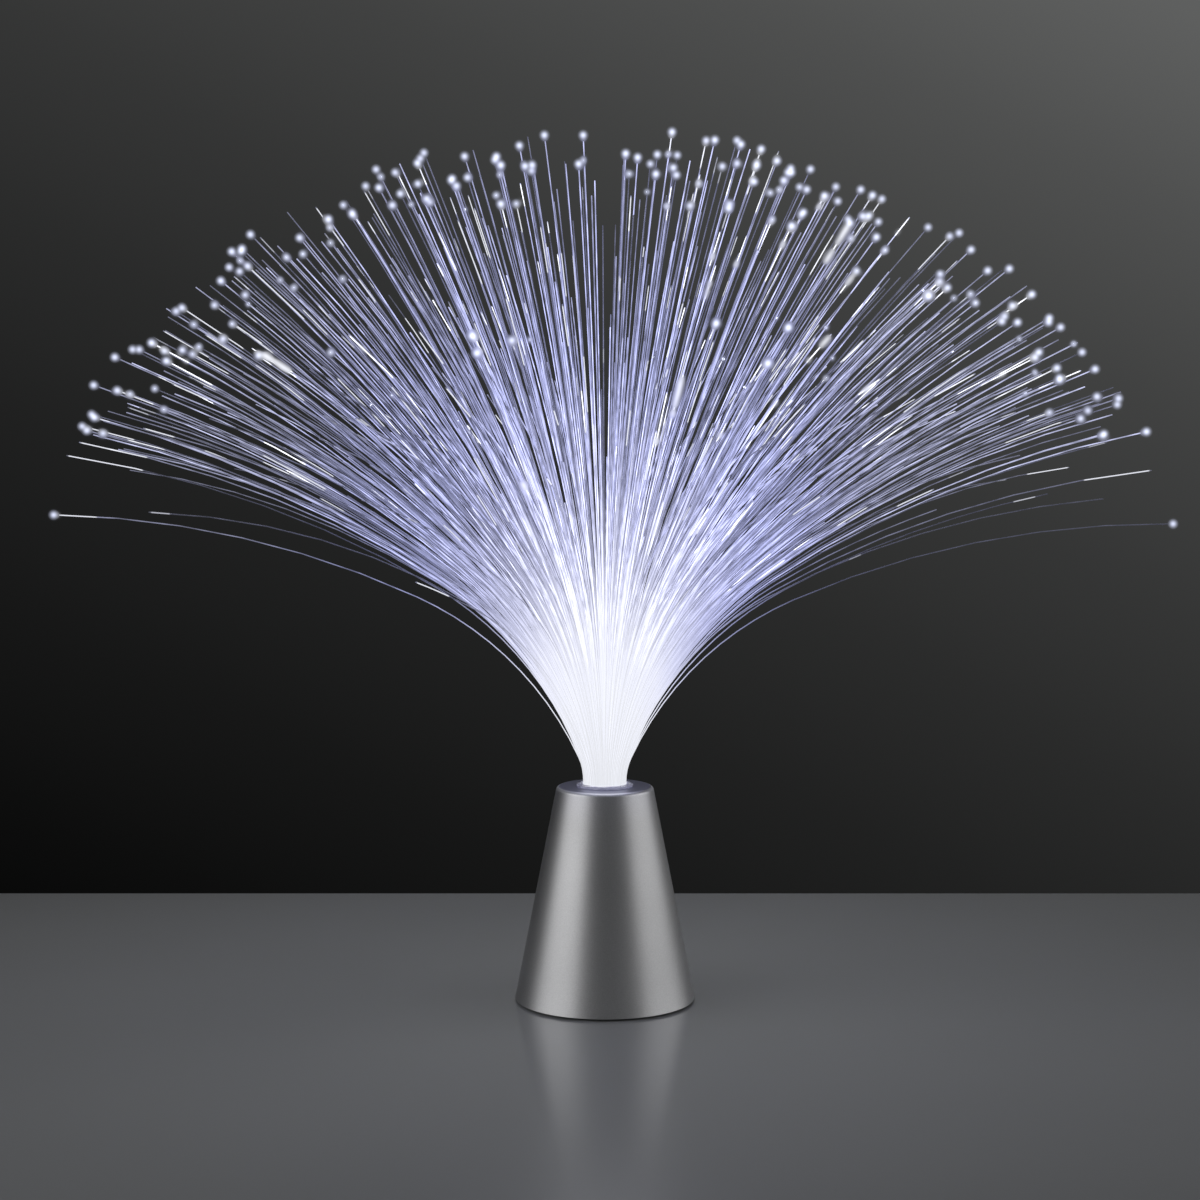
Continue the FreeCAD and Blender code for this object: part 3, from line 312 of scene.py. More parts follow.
# %% Silver lacquer
# Painted light by height: a faint bluish glow below the rim, a painted highlight along the rim,
# and painted lavender light from the fibres on the flat top.
PAINTED_LIGHT_FROM, PAINTED_LIGHT_TO = 0.0720, 0.0840
PAINTED_LIGHT_TINTS = (
    (0.00, (1.00, 1.00, 1.00)),
    (0.88, (1.05, 1.05, 1.09)),
    (0.93, (1.50, 1.50, 1.56)),
    (0.985, (1.50, 1.50, 1.56)),
    (1.00, (0.47, 0.47, 0.64)),
)


def bump(tree, shader, height, strength, distance):
    node = add_node(tree, "ShaderNodeBump", Height=height, Strength=strength, Distance=distance)
    tree.links.new(node.outputs["Normal"], shader.inputs["Normal"])


def dress(finish, *names):
    """Put a finish on solid parts."""
    for name in names:
        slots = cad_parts[name].data.materials
        slots.clear()
        slots.append(finish)


silver, tree, shader = start_finish("satin_silver_lacquer")
flakes = noise(tree, 2600.0, 3.0)
lacquer = ramp(tree, flakes, [(0.25, rgb(0.52, 0.52, 0.53)), (0.75, rgb(0.64, 0.64, 0.65))])
level = add_node(tree, "ShaderNodeSeparateXYZ", Vector=metres(tree)).outputs["Z"]
# The painted light multiplies the lacquer's colour.
tint = ramp(
    tree, fit(tree, level, PAINTED_LIGHT_FROM, PAINTED_LIGHT_TO, 0.0, 1.0),
    [(place, rgb(*colour)) for place, colour in PAINTED_LIGHT_TINTS],
)
lacquer_with_painted_light = add_node(tree, "ShaderNodeVectorMath", {"operation": "MULTIPLY"})
tree.links.new(lacquer, lacquer_with_painted_light.inputs[0])
tree.links.new(tint, lacquer_with_painted_light.inputs[1])
tree.links.new(lacquer_with_painted_light.outputs["Vector"], shader.inputs["Base Color"])
tree.links.new(fit(tree, noise(tree, 26.0), 0.0, 1.0, 0.38, 0.48), shader.inputs["Roughness"])
bump(tree, shader, flakes, 0.05, 0.00005)
shader.inputs["Metallic"].default_value = 1.0
dress(silver, "cone_shell")
print("silver lacquer on the cone")

# %% [markdown]
# ## Moulded plastics
#
# The cover and the door under the lamp are black plastic with a fine spark-eroded grain,
# which hides finger marks. The tray inside is plain grey, the light cup is polished white so
# that it throws the light up, and the switch is glossier than the cover. They differ only in
# colour, gloss and grain, so one function makes them all.

# %% A function for moulded plastics
COLOUR_PATCHES, GLOSS_PATCHES = 40.0, 90.0
GLOSS_DRIFT = 0.06


def moulded_plastic(name, colour, roughness, grain_scale, grain_depth, drift=0.12):
    finish, tree, shader = start_finish(name)
    low = rgb(*(part * (1 - drift) for part in colour))
    high = rgb(*(part * (1 + drift) for part in colour))
    patches = ramp(tree, noise(tree, COLOUR_PATCHES), [(0.3, low), (0.7, high)])
    tree.links.new(patches, shader.inputs["Base Color"])
    dull, glossy = roughness + GLOSS_DRIFT, roughness - GLOSS_DRIFT
    tree.links.new(
        fit(tree, noise(tree, GLOSS_PATCHES), 0.2, 0.8, glossy, dull),
        shader.inputs["Roughness"],
    )
    bump(tree, shader, noise(tree, grain_scale, 4.0), 0.5, grain_depth)
    return finish


print("plastics drift by", GLOSS_DRIFT, "in roughness")

# %% [markdown]
# Each row below is one plastic: its name, colour, roughness, the fineness and depth of its
# grain, how much its colour drifts, and the parts that are made of it. A table shows at a
# glance how they differ.

# %% Dress the plastic parts
PLASTICS = (
    ("grained_black_plastic", (0.022, 0.022, 0.024), 0.55, 3200.0, 0.00008, 0.12,
     ("base_cover", "battery_door")),
    ("plain_grey_plastic", (0.10, 0.10, 0.11), 0.42, 900.0, 0.00003, 0.12,
     ("battery_tray",)),
    ("polished_white_plastic", (0.80, 0.80, 0.82), 0.20, 500.0, 0.00001, 0.02,
     ("light_cup",)),
    ("switch_black_plastic", (0.012, 0.012, 0.013), 0.32, 1500.0, 0.00003, 0.12,
     ("switch_body", "switch_slider")),
)
for *recipe, parts in PLASTICS:
    dress(moulded_plastic(*recipe), *parts)
print("moulded plastics:", len(PLASTICS))

# %% [markdown]
# ## Rubber feet
#
# Soft rubber is nearly black, scatters light evenly and picks up dust. Small pale specks of
# a cell pattern stand for the dust.

# %% Rubber
rubber, tree, shader = start_finish("soft_black_rubber")
specks = add_node(tree, "ShaderNodeTexVoronoi", Vector=metres(tree), Scale=1800.0)
dust_tones = [(0.06, rgb(0.10, 0.10, 0.095)), (0.14, rgb(0.020, 0.020, 0.020))]
tree.links.new(ramp(tree, specks.outputs["Distance"], dust_tones), shader.inputs["Base Color"])
tree.links.new(fit(tree, noise(tree, 500.0), 0.2, 0.8, 0.78, 0.95), shader.inputs["Roughness"])
bump(tree, shader, noise(tree, 2200.0, 4.0), 0.4, 0.00006)
dress(rubber, "foot_pads")
print("rubber on the feet")

# %% [markdown]
# ## Bare metals
#
# The screws are zinc plated steel and the contacts are nickel plated. Both are metal
# shaders: the screws a little bluish and blotchy, the contacts brighter, with fine rolling
# lines from the sheet that they were pressed from.

# %% Screws
zinc, tree, shader = start_finish("zinc_plated_steel")
zinc_tones = [(0.3, rgb(0.46, 0.48, 0.51)), (0.7, rgb(0.66, 0.67, 0.69))]
tree.links.new(ramp(tree, noise(tree, 700.0, 4.0), zinc_tones), shader.inputs["Base Color"])
tree.links.new(fit(tree, noise(tree, 1500.0), 0.2, 0.8, 0.24, 0.42), shader.inputs["Roughness"])
bump(tree, shader, noise(tree, 2500.0, 3.0), 0.3, 0.00003)
shader.inputs["Metallic"].default_value = 1.0
dress(zinc, "cover_screws", "tray_screws", "switch_screws", "door_screw", "board_screws")
print("zinc on the screws")

# %% [markdown]
# Rolling lines run one way only. The noise is squeezed along Y before it is read, which
# draws every patch of it out into a line along the other two directions.

# %% Contacts
LINE_SQUEEZE = 12.0

nickel, tree, shader = start_finish("nickel_plated_strip")
lines = noise(tree, 400.0, 3.0, stretch=(1.0, LINE_SQUEEZE, 1.0))
nickel_tones = [(0.3, rgb(0.66, 0.64, 0.60)), (0.7, rgb(0.78, 0.77, 0.73))]
tree.links.new(ramp(tree, lines, nickel_tones), shader.inputs["Base Color"])
tree.links.new(fit(tree, lines, 0.2, 0.8, 0.18, 0.32), shader.inputs["Roughness"])
bump(tree, shader, lines, 0.25, 0.00002)
shader.inputs["Metallic"].default_value = 1.0
dress(
    nickel, "door_link_strip", "door_terminal_strip", "top_link_strip", "top_terminal_strip",
    "negative_rail", "contact_spring_1", "contact_spring_2", "contact_spring_3", "switch_lugs",
)
print("nickel on the contacts")

# %% [markdown]
# ## The battery cells
#
# Each cell is a steel can in a printed film, with the bare nub standing out at one end and
# the bare bottom at the other. One solid holds can and nub, so the finish decides by height:
# metal at both ends, a pale band below the nub, and the blue-grey film for the rest. The
# middle cell stands upside down, so its heights are read the other way round.

# %% A finish for each cell
NUB_HEIGHT = 0.001
FILM_EDGE = 0.0006
BAND_LENGTH = 0.012
SHARPNESS = 0.0001


def cell_finish(number, nub_down):
    finish, tree, shader = start_finish(f"cell_film_{number}")
    low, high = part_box(f"battery_cell_{number}")
    level = add_node(tree, "ShaderNodeSeparateXYZ", Vector=metres(tree)).outputs["Z"]
    if nub_down:
        from_nub = work_out(tree, "SUBTRACT", level, low.z + NUB_HEIGHT)
    else:
        from_nub = work_out(tree, "SUBTRACT", high.z - NUB_HEIGHT, level)
    film_length = high.z - low.z - NUB_HEIGHT - FILM_EDGE
    after_nub = fit(tree, from_nub, FILM_EDGE, FILM_EDGE + SHARPNESS, 0.0, 1.0)
    before_end = fit(tree, from_nub, film_length - SHARPNESS, film_length, 1.0, 0.0)
    film = work_out(tree, "MULTIPLY", after_nub, before_end)
    band = fit(tree, from_nub, BAND_LENGTH, BAND_LENGTH + 2 * SHARPNESS, 1.0, 0.0)
    film_colours = [(0.3, rgb(0.045, 0.070, 0.110)), (0.7, rgb(0.055, 0.085, 0.130))]
    dark_film = ramp(tree, noise(tree, 60.0), film_colours)
    printed = blend(tree, band, dark_film, rgb(0.50, 0.51, 0.53))
    tree.links.new(blend(tree, film, rgb(0.68, 0.67, 0.65), printed), shader.inputs["Base Color"])
    tree.links.new(fit(tree, film, 0.0, 1.0, 1.0, 0.15), shader.inputs["Metallic"])
    gloss = fit(tree, noise(tree, 300.0), 0.2, 0.8, 0.20, 0.30)
    tree.links.new(gloss, shader.inputs["Roughness"])
    return finish


for number in (1, 2, 3):
    dress(cell_finish(number, nub_down=number == 2), f"battery_cell_{number}")
print("film on three cells")

# %% [markdown]
# ## The circuit board
#
# Solder mask is a thin green varnish. Where copper runs under it, the green is lighter. The
# joints of a brick pattern make believable traces, and small round pads come from a cell
# pattern.

# %% Circuit board
board, tree, shader = start_finish("green_solder_mask")
traces = add_node(
    tree, "ShaderNodeTexBrick", Vector=metres(tree), Scale=160.0, Mortar_Size=0.09,
    Color1=rgb(0.012, 0.085, 0.040), Color2=rgb(0.014, 0.095, 0.045),
    Mortar=rgb(0.035, 0.20, 0.09),
)
pads = add_node(tree, "ShaderNodeTexVoronoi", Vector=metres(tree), Scale=230.0)
pad_mask = fit(tree, pads.outputs["Distance"], 0.16, 0.18, 1.0, 0.0)
tree.links.new(
    blend(tree, pad_mask, traces.outputs["Color"], rgb(0.62, 0.62, 0.60)),
    shader.inputs["Base Color"],
)
tree.links.new(fit(tree, pad_mask, 0.0, 1.0, 0.35, 0.22), shader.inputs["Roughness"])
tree.links.new(pad_mask, shader.inputs["Metallic"])
bump(tree, shader, traces.outputs["Fac"], 0.3, 0.00004)
dress(board, "led_board")
print("solder mask on the board")

# %% [markdown]
# ## Chips and diodes
#
# A chip is cast in dull black resin, so it is one more moulded plastic. A diode is a clear
# dome with its light inside: a glow of its own under a glossy coat looks like that, and
# needs no light object.

# %% Chips and diodes
DIODE_GLOW = 2.0

chip = moulded_plastic("chip_black_resin", (0.020, 0.020, 0.021), 0.62, 4200.0, 0.00004)
dress(chip, "board_chips")

lens, tree, shader = start_finish("lit_diode_lens")
tree.links.new(
    ramp(tree, noise(tree, 300.0), [(0.3, rgb(0.80, 0.84, 1.0)), (0.7, rgb(0.90, 0.92, 1.0))]),
    shader.inputs["Emission Color"],
)
shader.inputs["Emission Strength"].default_value = DIODE_GLOW
shader.inputs["Base Color"].default_value = rgb(0.85, 0.88, 1.0)
shader.inputs["Roughness"].default_value = 0.05
shader.inputs["Coat Weight"].default_value = 1.0
dress(lens, "led_1", "led_2", "led_3")
print("chips and three diodes dressed")

# %% [markdown]
# ## Wires
#
# Two thin wires lead the current from the cells over the switch to the board. Their sleeves
# are soft plastic, red on the plus side and black behind the switch. A sleeve is smooth with
# a soft shine, so the function for moulded plastics makes it too, with hardly any grain.

# %% Insulation
def insulation(name, colour):
    return moulded_plastic(name, colour, 0.38, 1200.0, 0.00002, 0.08)


dress(insulation("red_insulation", (0.48, 0.015, 0.012)), "supply_wire")
dress(insulation("black_insulation", (0.014, 0.014, 0.015)), "switched_wire")
print("insulation on two wires")

# %% [markdown]
# ## The clear ferrule and its glue
#
# The bundle stands in a short clear sleeve with a flange that rests on the cone. Light from
# the bundle soaks through it, and that light is painted in: a pale lavender colour, and a
# faint glow in patches that stands for the light inside the plastic. It is partly see-through.

# %% Clear plastic
def clear_finish(name, roughness, ripple_scale, ripple_depth, glow):
    finish, tree, shader = start_finish(name)
    ripple = noise(tree, ripple_scale, 2.0)
    # Painted light from the bundle: the lavender body colour and the patchy glow.
    painted_lavender_tones = [(0.3, rgb(0.50, 0.50, 0.66)), (0.7, rgb(0.62, 0.62, 0.80))]
    painted_glow_tones = [(0.42, rgb(0.20, 0.20, 0.36)), (0.62, rgb(0.90, 0.90, 1.00))]
    tree.links.new(ramp(tree, ripple, painted_lavender_tones), shader.inputs["Base Color"])
    tree.links.new(ramp(tree, ripple, painted_glow_tones), shader.inputs["Emission Color"])
    shader.inputs["Emission Strength"].default_value = glow
    shader.inputs["Roughness"].default_value = roughness
    shader.inputs["Transmission Weight"].default_value = 0.45
    shader.inputs["IOR"].default_value = 1.49
    bump(tree, shader, ripple, 0.5, ripple_depth)
    return finish


ferrule_finish = clear_finish("clear_moulded_plastic", 0.12, 260.0, 0.00005, 0.05)
glue_finish = clear_finish("clear_cured_glue", 0.05, 420.0, 0.00025, 0.16)
dress(ferrule_finish, "fibre_ferrule")
dress(glue_finish, "bundle_root")
print("clear plastic on the ferrule, glue on the bundle's root")

# %% [markdown]
# The glue was run around the bundle by hand, so it is a low wavy ring with thick and thin
# places. A ring of small cross sections, each a little wider or narrower than its
# neighbours, gives that shape. The waves are sums of sines, so that the ring closes on
# itself.

# %% Run the glue around the bundle
AROUND = 144
PROFILE = 14
GLUE_INNER_RADIUS = 0.0086
GLUE_FULLNESS = 0.8
MEAN_WIDTH, WIDTH_WAVES = 0.80, ((3, 0.10, 0.4), (7, 0.06, 1.7), (17, 0.03, 0.2))
MEAN_HEIGHT, HEIGHT_WAVES = 0.74, ((2, 0.12, 2.2), (5, 0.08, 0.9), (11, 0.05, 2.9))
bead_low, bead_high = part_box("glue_bead")
bead_outer = (bead_high.x - bead_low.x) / 2


def wavy(turn, waves):
    """A sum of sines, each with a count around the ring, a height and a start."""
    return sum(height * np.sin(count * turn + start) for count, height, start in waves)


turn = np.arange(AROUND) * 2 * math.pi / AROUND
width_share = MEAN_WIDTH + wavy(turn, WIDTH_WAVES)
height_share = MEAN_HEIGHT + wavy(turn, HEIGHT_WAVES)
slope = np.linspace(0, math.pi, PROFILE)
across = (1 - np.cos(slope)) / 2
rise = np.sin(slope) ** GLUE_FULLNESS
room = bead_outer - GLUE_INNER_RADIUS
radius = GLUE_INNER_RADIUS + room * across[None, :] * width_share[:, None]
level = bead_low.z + (bead_high.z - bead_low.z) * rise[None, :] * height_share[:, None]
ring = np.stack([radius * np.cos(turn)[:, None], radius * np.sin(turn)[:, None], level], axis=-1)
quads = []
for step in range(AROUND):
    here, there = step * PROFILE, (step + 1) % AROUND * PROFILE
    for row in range(PROFILE):
        after = (row + 1) % PROFILE
        quads.append((here + row, there + row, there + after, here + after))
glue_mesh = bpy.data.meshes.new("glue_ring")
glue_mesh.from_pydata(ring.reshape(-1, 3).tolist(), [], quads)
glue_mesh.polygons.foreach_set("use_smooth", [True] * len(quads))
glue_mesh.materials.append(glue_finish)
glue = bpy.data.objects.new("glue_ring", glue_mesh)
scene.collection.objects.link(glue)
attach(glue, "spray")
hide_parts("glue_bead")
print("glue ring:", len(quads), "faces, up to", round(float(level.max()) / MM, 2), "mm")

# %% [markdown]
# ## The fibres
#
# Each fibre is a thin rod of clear plastic. It stands upright in the collar, turns outwards
# quickly at the neck, more slowly over the next few centimetres, and runs on almost
# straight. The fibres are packed like the seeds of a sunflower, and one further out leans
# further, so no two of them cross. A little over a third are cut shorter than the rest.
#
# A curve object with a bevel could make them, but a mesh built with numpy is quicker for so
# many rods, and it can carry numbers for the shader on every point, such as how far up the
# fibre the point is.

# %% How the fibres are packed
FIBRE_RADIUS = 0.2
FIBRE_GAP = 0.02
BUNDLE_RADIUS = 8.3
SUNFLOWER_STEP = 1.545
GOLDEN_TURN = 180 * (3 - math.sqrt(5))
FIBRE_COUNT = round((SUNFLOWER_STEP * BUNDLE_RADIUS / (2 * FIBRE_RADIUS + FIBRE_GAP)) ** 2)


def scatter(index, salt):
    """A repeatable number from 0 to 1 that looks random."""
    return (math.sin(index * 12.9898 + salt * 78.233) * 43758.5453) % 1


def fibre_root(index):
    """Share of the bundle's radius, and direction, of a fibre's foot."""
    share = math.sqrt((index + 0.5) / (FIBRE_COUNT - 0.5))
    return share, math.radians(index * GOLDEN_TURN)


print("fibres:", FIBRE_COUNT)

# %% [markdown]
# ### How far they lean and how long they are
#
# A fibre leans further the further out it stands, by a law that spreads the ends evenly over
# a dome. Slow waves are added to the lean. Where they push neighbours together the fibres
# gather in clumps, as combed hair does, and a narrow slit opens near the middle. A few at
# the rim are wild and hang out further.

# %% Leans and lengths
SPREAD_ANGLE = 59.0
TIP_TO_END = 1.35
CAP_POWER = 1.9
WAVES_X = ((1.6, 0.0, 0.31, 1.1), (1.1, 0.36, 0.27, 0.4))
WAVES_Y = ((1.6, 0.29, 0.0, 2.3), (1.1, 0.33, -0.25, 1.9))
SLIT_ANGLE, SLIT_HALF_ANGLE, SLIT_FADE_ANGLE = -1.5, 2.2, 9.0
STRAY_ANGLE = 1.1
WILD_FROM, WILD_CHANCE, WILD_ANGLE = 0.97, 0.35, 12.0
FULL_LENGTH = 251.0
CUT_CHANCE, CUT_LEAST_SHARE, CUT_RANGE_SHARE = 0.36, 0.44, 0.48
FULL_RANGE_SHARE, FULL_POWER = 0.06, 1.5
STRAY_X, STRAY_Y, CUT_PICK, CUT_SIZE, FULL_SIZE, WILD_PICK, WILD_SIZE = 1, 2, 3, 4, 5, 49, 92


def wave(waves, x, y):
    return sum(height * math.sin(step_x * x + step_y * y + start)
               for height, step_x, step_y, start in waves)


def fibre_lean(index):
    """Degrees of lean along x and y; slow waves gather the fibres into clumps."""
    share, angle = fibre_root(index)
    cap = 1 - math.cos(math.radians(SPREAD_ANGLE))
    lean = TIP_TO_END * math.degrees(math.acos(1 - cap * share ** CAP_POWER))
    if share > WILD_FROM and scatter(index, WILD_PICK) < WILD_CHANCE:
        lean += WILD_ANGLE * scatter(index, WILD_SIZE)
    x, y = lean * math.cos(angle), lean * math.sin(angle)
    side = 1 if x > SLIT_ANGLE else -1
    slit = side * SLIT_HALF_ANGLE * math.exp(-abs(x - SLIT_ANGLE) / SLIT_FADE_ANGLE)
    stray_x = STRAY_ANGLE * (scatter(index, STRAY_X) - 0.5)
    stray_y = STRAY_ANGLE * (scatter(index, STRAY_Y) - 0.5)
    return x + wave(WAVES_X, x, y) + slit + stray_x, y + wave(WAVES_Y, x, y) + stray_y


def is_cut(index):
    return scatter(index, CUT_PICK) < CUT_CHANCE


def fibre_reach(index):
    if is_cut(index):
        return FULL_LENGTH * (CUT_LEAST_SHARE + CUT_RANGE_SHARE * scatter(index, CUT_SIZE))
    return FULL_LENGTH * (1 - FULL_RANGE_SHARE * scatter(index, FULL_SIZE) ** FULL_POWER)


print("short fibres:", sum(is_cut(index) for index in range(FIBRE_COUNT)))

# %% [markdown]
# A fibre bends in three arcs, and each takes over the direction in which the one before it
# ends. One that is cut short follows the same line and ends sooner. Because a fibre stays in
# one upright plane, a point on it needs only two numbers: how far out and how far up.

# %% The line that a fibre follows
FOOT_LEVEL = 78.6
BEND_LEVEL = 85.6
NECK_LENGTH, NECK_SHARE = 10.0, 0.27
BEND_LENGTH, BEND_SHARE = 90.0, 0.45
LEAST_TURN = 1.5
NECK_STEPS, BEND_STEPS, TAIL_STEPS = 4, 11, 6
UP = np.array((0.0, 0.0, 1.0))


def flat_direction(angle):
    return np.array((math.cos(angle), math.sin(angle), 0.0))


def fibre_line(index, end_steps):
    """Distances along a fibre, its points, and two directions across it, in millimetres."""
    share, angle = fibre_root(index)
    lean_x, lean_y = fibre_lean(index)
    total = math.radians(max(math.hypot(lean_x, lean_y), LEAST_TURN))
    heading = math.atan2(lean_y, lean_x)
    reach = fibre_reach(index)
    knee = NECK_LENGTH + BEND_LENGTH
    full_tail = FULL_LENGTH - knee
    steps = np.concatenate([
        [FOOT_LEVEL - BEND_LEVEL, 0.0],
        np.linspace(0, NECK_LENGTH, NECK_STEPS + 1)[1:],
        np.linspace(NECK_LENGTH, knee, BEND_STEPS + 1)[1:],
        np.linspace(knee, reach - end_steps[0], TAIL_STEPS + 1)[1:-1],
        reach - np.array(end_steps),
    ])
    arcs = (
        (0.0, NECK_LENGTH, NECK_SHARE * total),
        (NECK_LENGTH, BEND_LENGTH, BEND_SHARE * total),
        (knee, full_tail, (1 - NECK_SHARE - BEND_SHARE) * total),
    )
    out, up, turn = np.zeros(len(steps)), np.minimum(steps, 0.0), np.zeros(len(steps))
    turned = 0.0
    for start, length, arc_turn in arcs:
        radius = length / arc_turn
        now = np.clip(steps - start, 0, length) / radius
        out += radius * (math.cos(turned) - np.cos(turned + now))
        up += radius * (np.sin(turned + now) - math.sin(turned))
        turn += now
        turned += arc_turn
    outward = flat_direction(heading)
    base = flat_direction(angle) * share * BUNDLE_RADIUS
    points = base + out[:, None] * outward + (BEND_LEVEL + up)[:, None] * UP
    inward = np.cos(turn)[:, None] * outward - np.sin(turn)[:, None] * UP
    sideways = flat_direction(heading + math.pi / 2)
    return steps, points, inward, sideways


outermost = fibre_line(FIBRE_COUNT - 1, (0.0,))[1]
print("the outermost fibre has", len(outermost), "points and ends", outermost[-1].round(), "mm")

# %% [markdown]
# ### How a fibre ends
#
# A fibre that is cut with a hot blade ends in a tiny melted lens, which sends its light out
# to all sides and looks like a bright point. One that is snipped cold ends flat and sends
# its light straight on, so its end is hardly seen from the side, but the last centimetre of
# its shaft often carries a painted glint, a bright streak of extra glow. Many of the fibres
# that hang to the left and right were cut hot, most of all on the right, and a few of the
# others.

# %% Choose the ends
BEAD_BACK = (1.26, 1.08, 0.84, 0.52, 0.24, 0.06)
BEAD_WIDTH = (0.22, 0.40, 0.54, 0.58, 0.46, 0.20)
CUT_BACK = (0.30, 0.02, 0.0)
CUT_WIDTH = (0.20, 0.20, 0.15)
SIDE_LEAN = 26.0
RIGHT_FROM, RIGHT_TO = 8.0, 40.0
CHANCE_AT_SIDE, CHANCE_AT_RIGHT = 0.68, 0.80
CHANCE_ELSEWHERE, CHANCE_ELSEWHERE_RIGHT = 0.07, 0.22
END_PICK = 61


def on_the_right(lean_x):
    return RIGHT_FROM < lean_x < RIGHT_TO


def ends_in_bead(index):
    lean_x, lean_y = fibre_lean(index)
    if is_cut(index):
        chance = 0.0
    elif abs(lean_y) < SIDE_LEAN:
        chance = CHANCE_AT_RIGHT if on_the_right(lean_x) else CHANCE_AT_SIDE
    else:
        chance = CHANCE_ELSEWHERE_RIGHT if on_the_right(lean_x) else CHANCE_ELSEWHERE
    return scatter(index, END_PICK) < chance


print("fibres with a bead:", sum(ends_in_bead(index) for index in range(FIBRE_COUNT)))

# %% [markdown]
# ### How each fibre is lit
#
# Most fibres glow dimly and a few glow brightly, and the square of a random number gives that
# mixture. The ones that hang out furthest are dull, and those that leave the bundle at its
# left and right lose their light sooner than the ones in the middle. Some have one painted
# glint, a bright streak of extra glow, most often at the very end.

# %% Give each fibre its light
LEAST_GLOW, GLOW_RANGE = 0.30, 2.00
RIGHT_GAIN = 1.25
DULL_FROM, DULL_GAIN = 80.0, 0.45
FADE_MIDDLE, FADE_LEFT, FADE_RIGHT, FADE_POWER = 0.86, 0.60, 1.0, 2.2
# A streak is a painted glint: a stretch of whiter, brighter emission on the shaft.
STREAK_CHANCE, STREAK_CHANCE_RIGHT = 0.36, 0.60
STREAK_SHORT, STREAK_LONG = 3.2, 15.0
STREAK_AT_END = 0.7
STREAK_LOWEST, STREAK_RANGE = 0.5, 0.46
BRIGHT_PICK, STREAK_PICK, PLACE_PICK, END_STREAK_PICK = 71, 72, 73, 74


def fibre_glow(index):
    lean_x, lean_y = fibre_lean(index)
    glow = LEAST_GLOW + GLOW_RANGE * scatter(index, BRIGHT_PICK) ** 2
    if on_the_right(lean_x):
        glow *= RIGHT_GAIN
    if math.hypot(lean_x, lean_y) > DULL_FROM:
        glow *= DULL_GAIN
    return glow


def fibre_fade(index):
    """How fast a fibre's glow fades; it fades faster at the sides of the bundle."""
    share, angle = fibre_root(index)
    sideways = share * math.cos(angle)
    most = FADE_RIGHT if sideways > 0 else FADE_LEFT
    return FADE_MIDDLE + most * abs(sideways) ** FADE_POWER


def fibre_streak(index, length):
    """Where the middle of a fibre's streak is, and half its length; most have none."""
    lean_x, _ = fibre_lean(index)
    chance = STREAK_CHANCE_RIGHT if on_the_right(lean_x) else STREAK_CHANCE
    luck = max(scatter(index, STREAK_PICK) - 1 + chance, 0.0) / chance
    half = STREAK_SHORT + (STREAK_LONG - STREAK_SHORT) * luck ** 2 if luck > 0 else 0.0
    if scatter(index, END_STREAK_PICK) < STREAK_AT_END:
        return length - half, half
    return length * (STREAK_LOWEST + STREAK_RANGE * scatter(index, PLACE_PICK)), half


print("fibres with a streak:", sum(fibre_streak(index, 1)[1] > 0 for index in range(FIBRE_COUNT)))

# %% [markdown]
# ### Skin the rods
#
# Every station on a fibre gets a ring of eight points, and neighbouring rings are joined by
# faces. Six numbers ride on each point for the shader: its distance up the fibre, the same
# distance as the fading of the light counts it, how strongly this fibre glows, its distance
# from the fibre's bright streak, half the length of that streak, and the fibre's own number,
# from which it gets a pattern of its own.

# %% Rings and faces of one rod
SIDES = 8
CIRCLE = np.arange(SIDES) * 2 * math.pi / SIDES


def rod(index):
    """Points of one rod, the numbers on them, and whether it ends in a bead."""
    beaded = ends_in_bead(index)
    back, width = (BEAD_BACK, BEAD_WIDTH) if beaded else (CUT_BACK, CUT_WIDTH)
    steps, points, inward, sideways = fibre_line(index, back)
    radii = np.full(len(steps), FIBRE_RADIUS)
    radii[-len(width):] = width
    rings = (
        points[:, None, :]
        + radii[:, None, None] * np.cos(CIRCLE)[None, :, None] * inward[:, None, :]
        + radii[:, None, None] * np.sin(CIRCLE)[None, :, None] * sideways[None, None, :]
    )
    streak, half_streak = fibre_streak(index, steps[-1])
    numbers = {
        "climb": steps * MM,
        "fade": steps * MM * fibre_fade(index),
        "glow": np.full(len(steps), fibre_glow(index)),
        "from_streak": (steps - streak) * MM,
        "half_streak": np.full(len(steps), half_streak * MM),
        "number": np.full(len(steps), index),
    }
    values = {name: np.repeat(row, SIDES) for name, row in numbers.items()}
    return rings.reshape(-1, 3) * MM, values, beaded


def rod_faces(start, count, beaded):
    """Faces of one rod, and which of them belong to its glowing end."""
    ring = np.arange(SIDES)
    after = (ring + 1) % SIDES
    sides = []
    for row in range(count - 1):
        low = start + row * SIDES
        high = low + SIDES
        sides.append(np.stack([low + ring, low + after, high + after, high + ring], axis=1))
    faces = np.concatenate(sides).tolist()
    end_rings = len(BEAD_BACK) - 1 if beaded else 0
    lit = [row >= count - 1 - end_rings for row in range(count - 1) for _ in range(SIDES)]
    faces.append((start + ring[::-1]).tolist())
    faces.append((start + (count - 1) * SIDES + ring).tolist())
    return faces, lit + [False, beaded]


print("points on the first rod:", len(rod(0)[0]))

# %% [markdown]
# ### How the shafts glow
#
# A fibre is seen by the light that leaks from its side. The leak is strong near the foot,
# where all the fibres together look like one white flame, and weak further up. A noise that
# is stretched along each fibre breaks its glow into longer and shorter dashes. Colour and
# strength of an emission follow the numbers on the points. Under it lies a glossy plastic
# that still catches the panels.

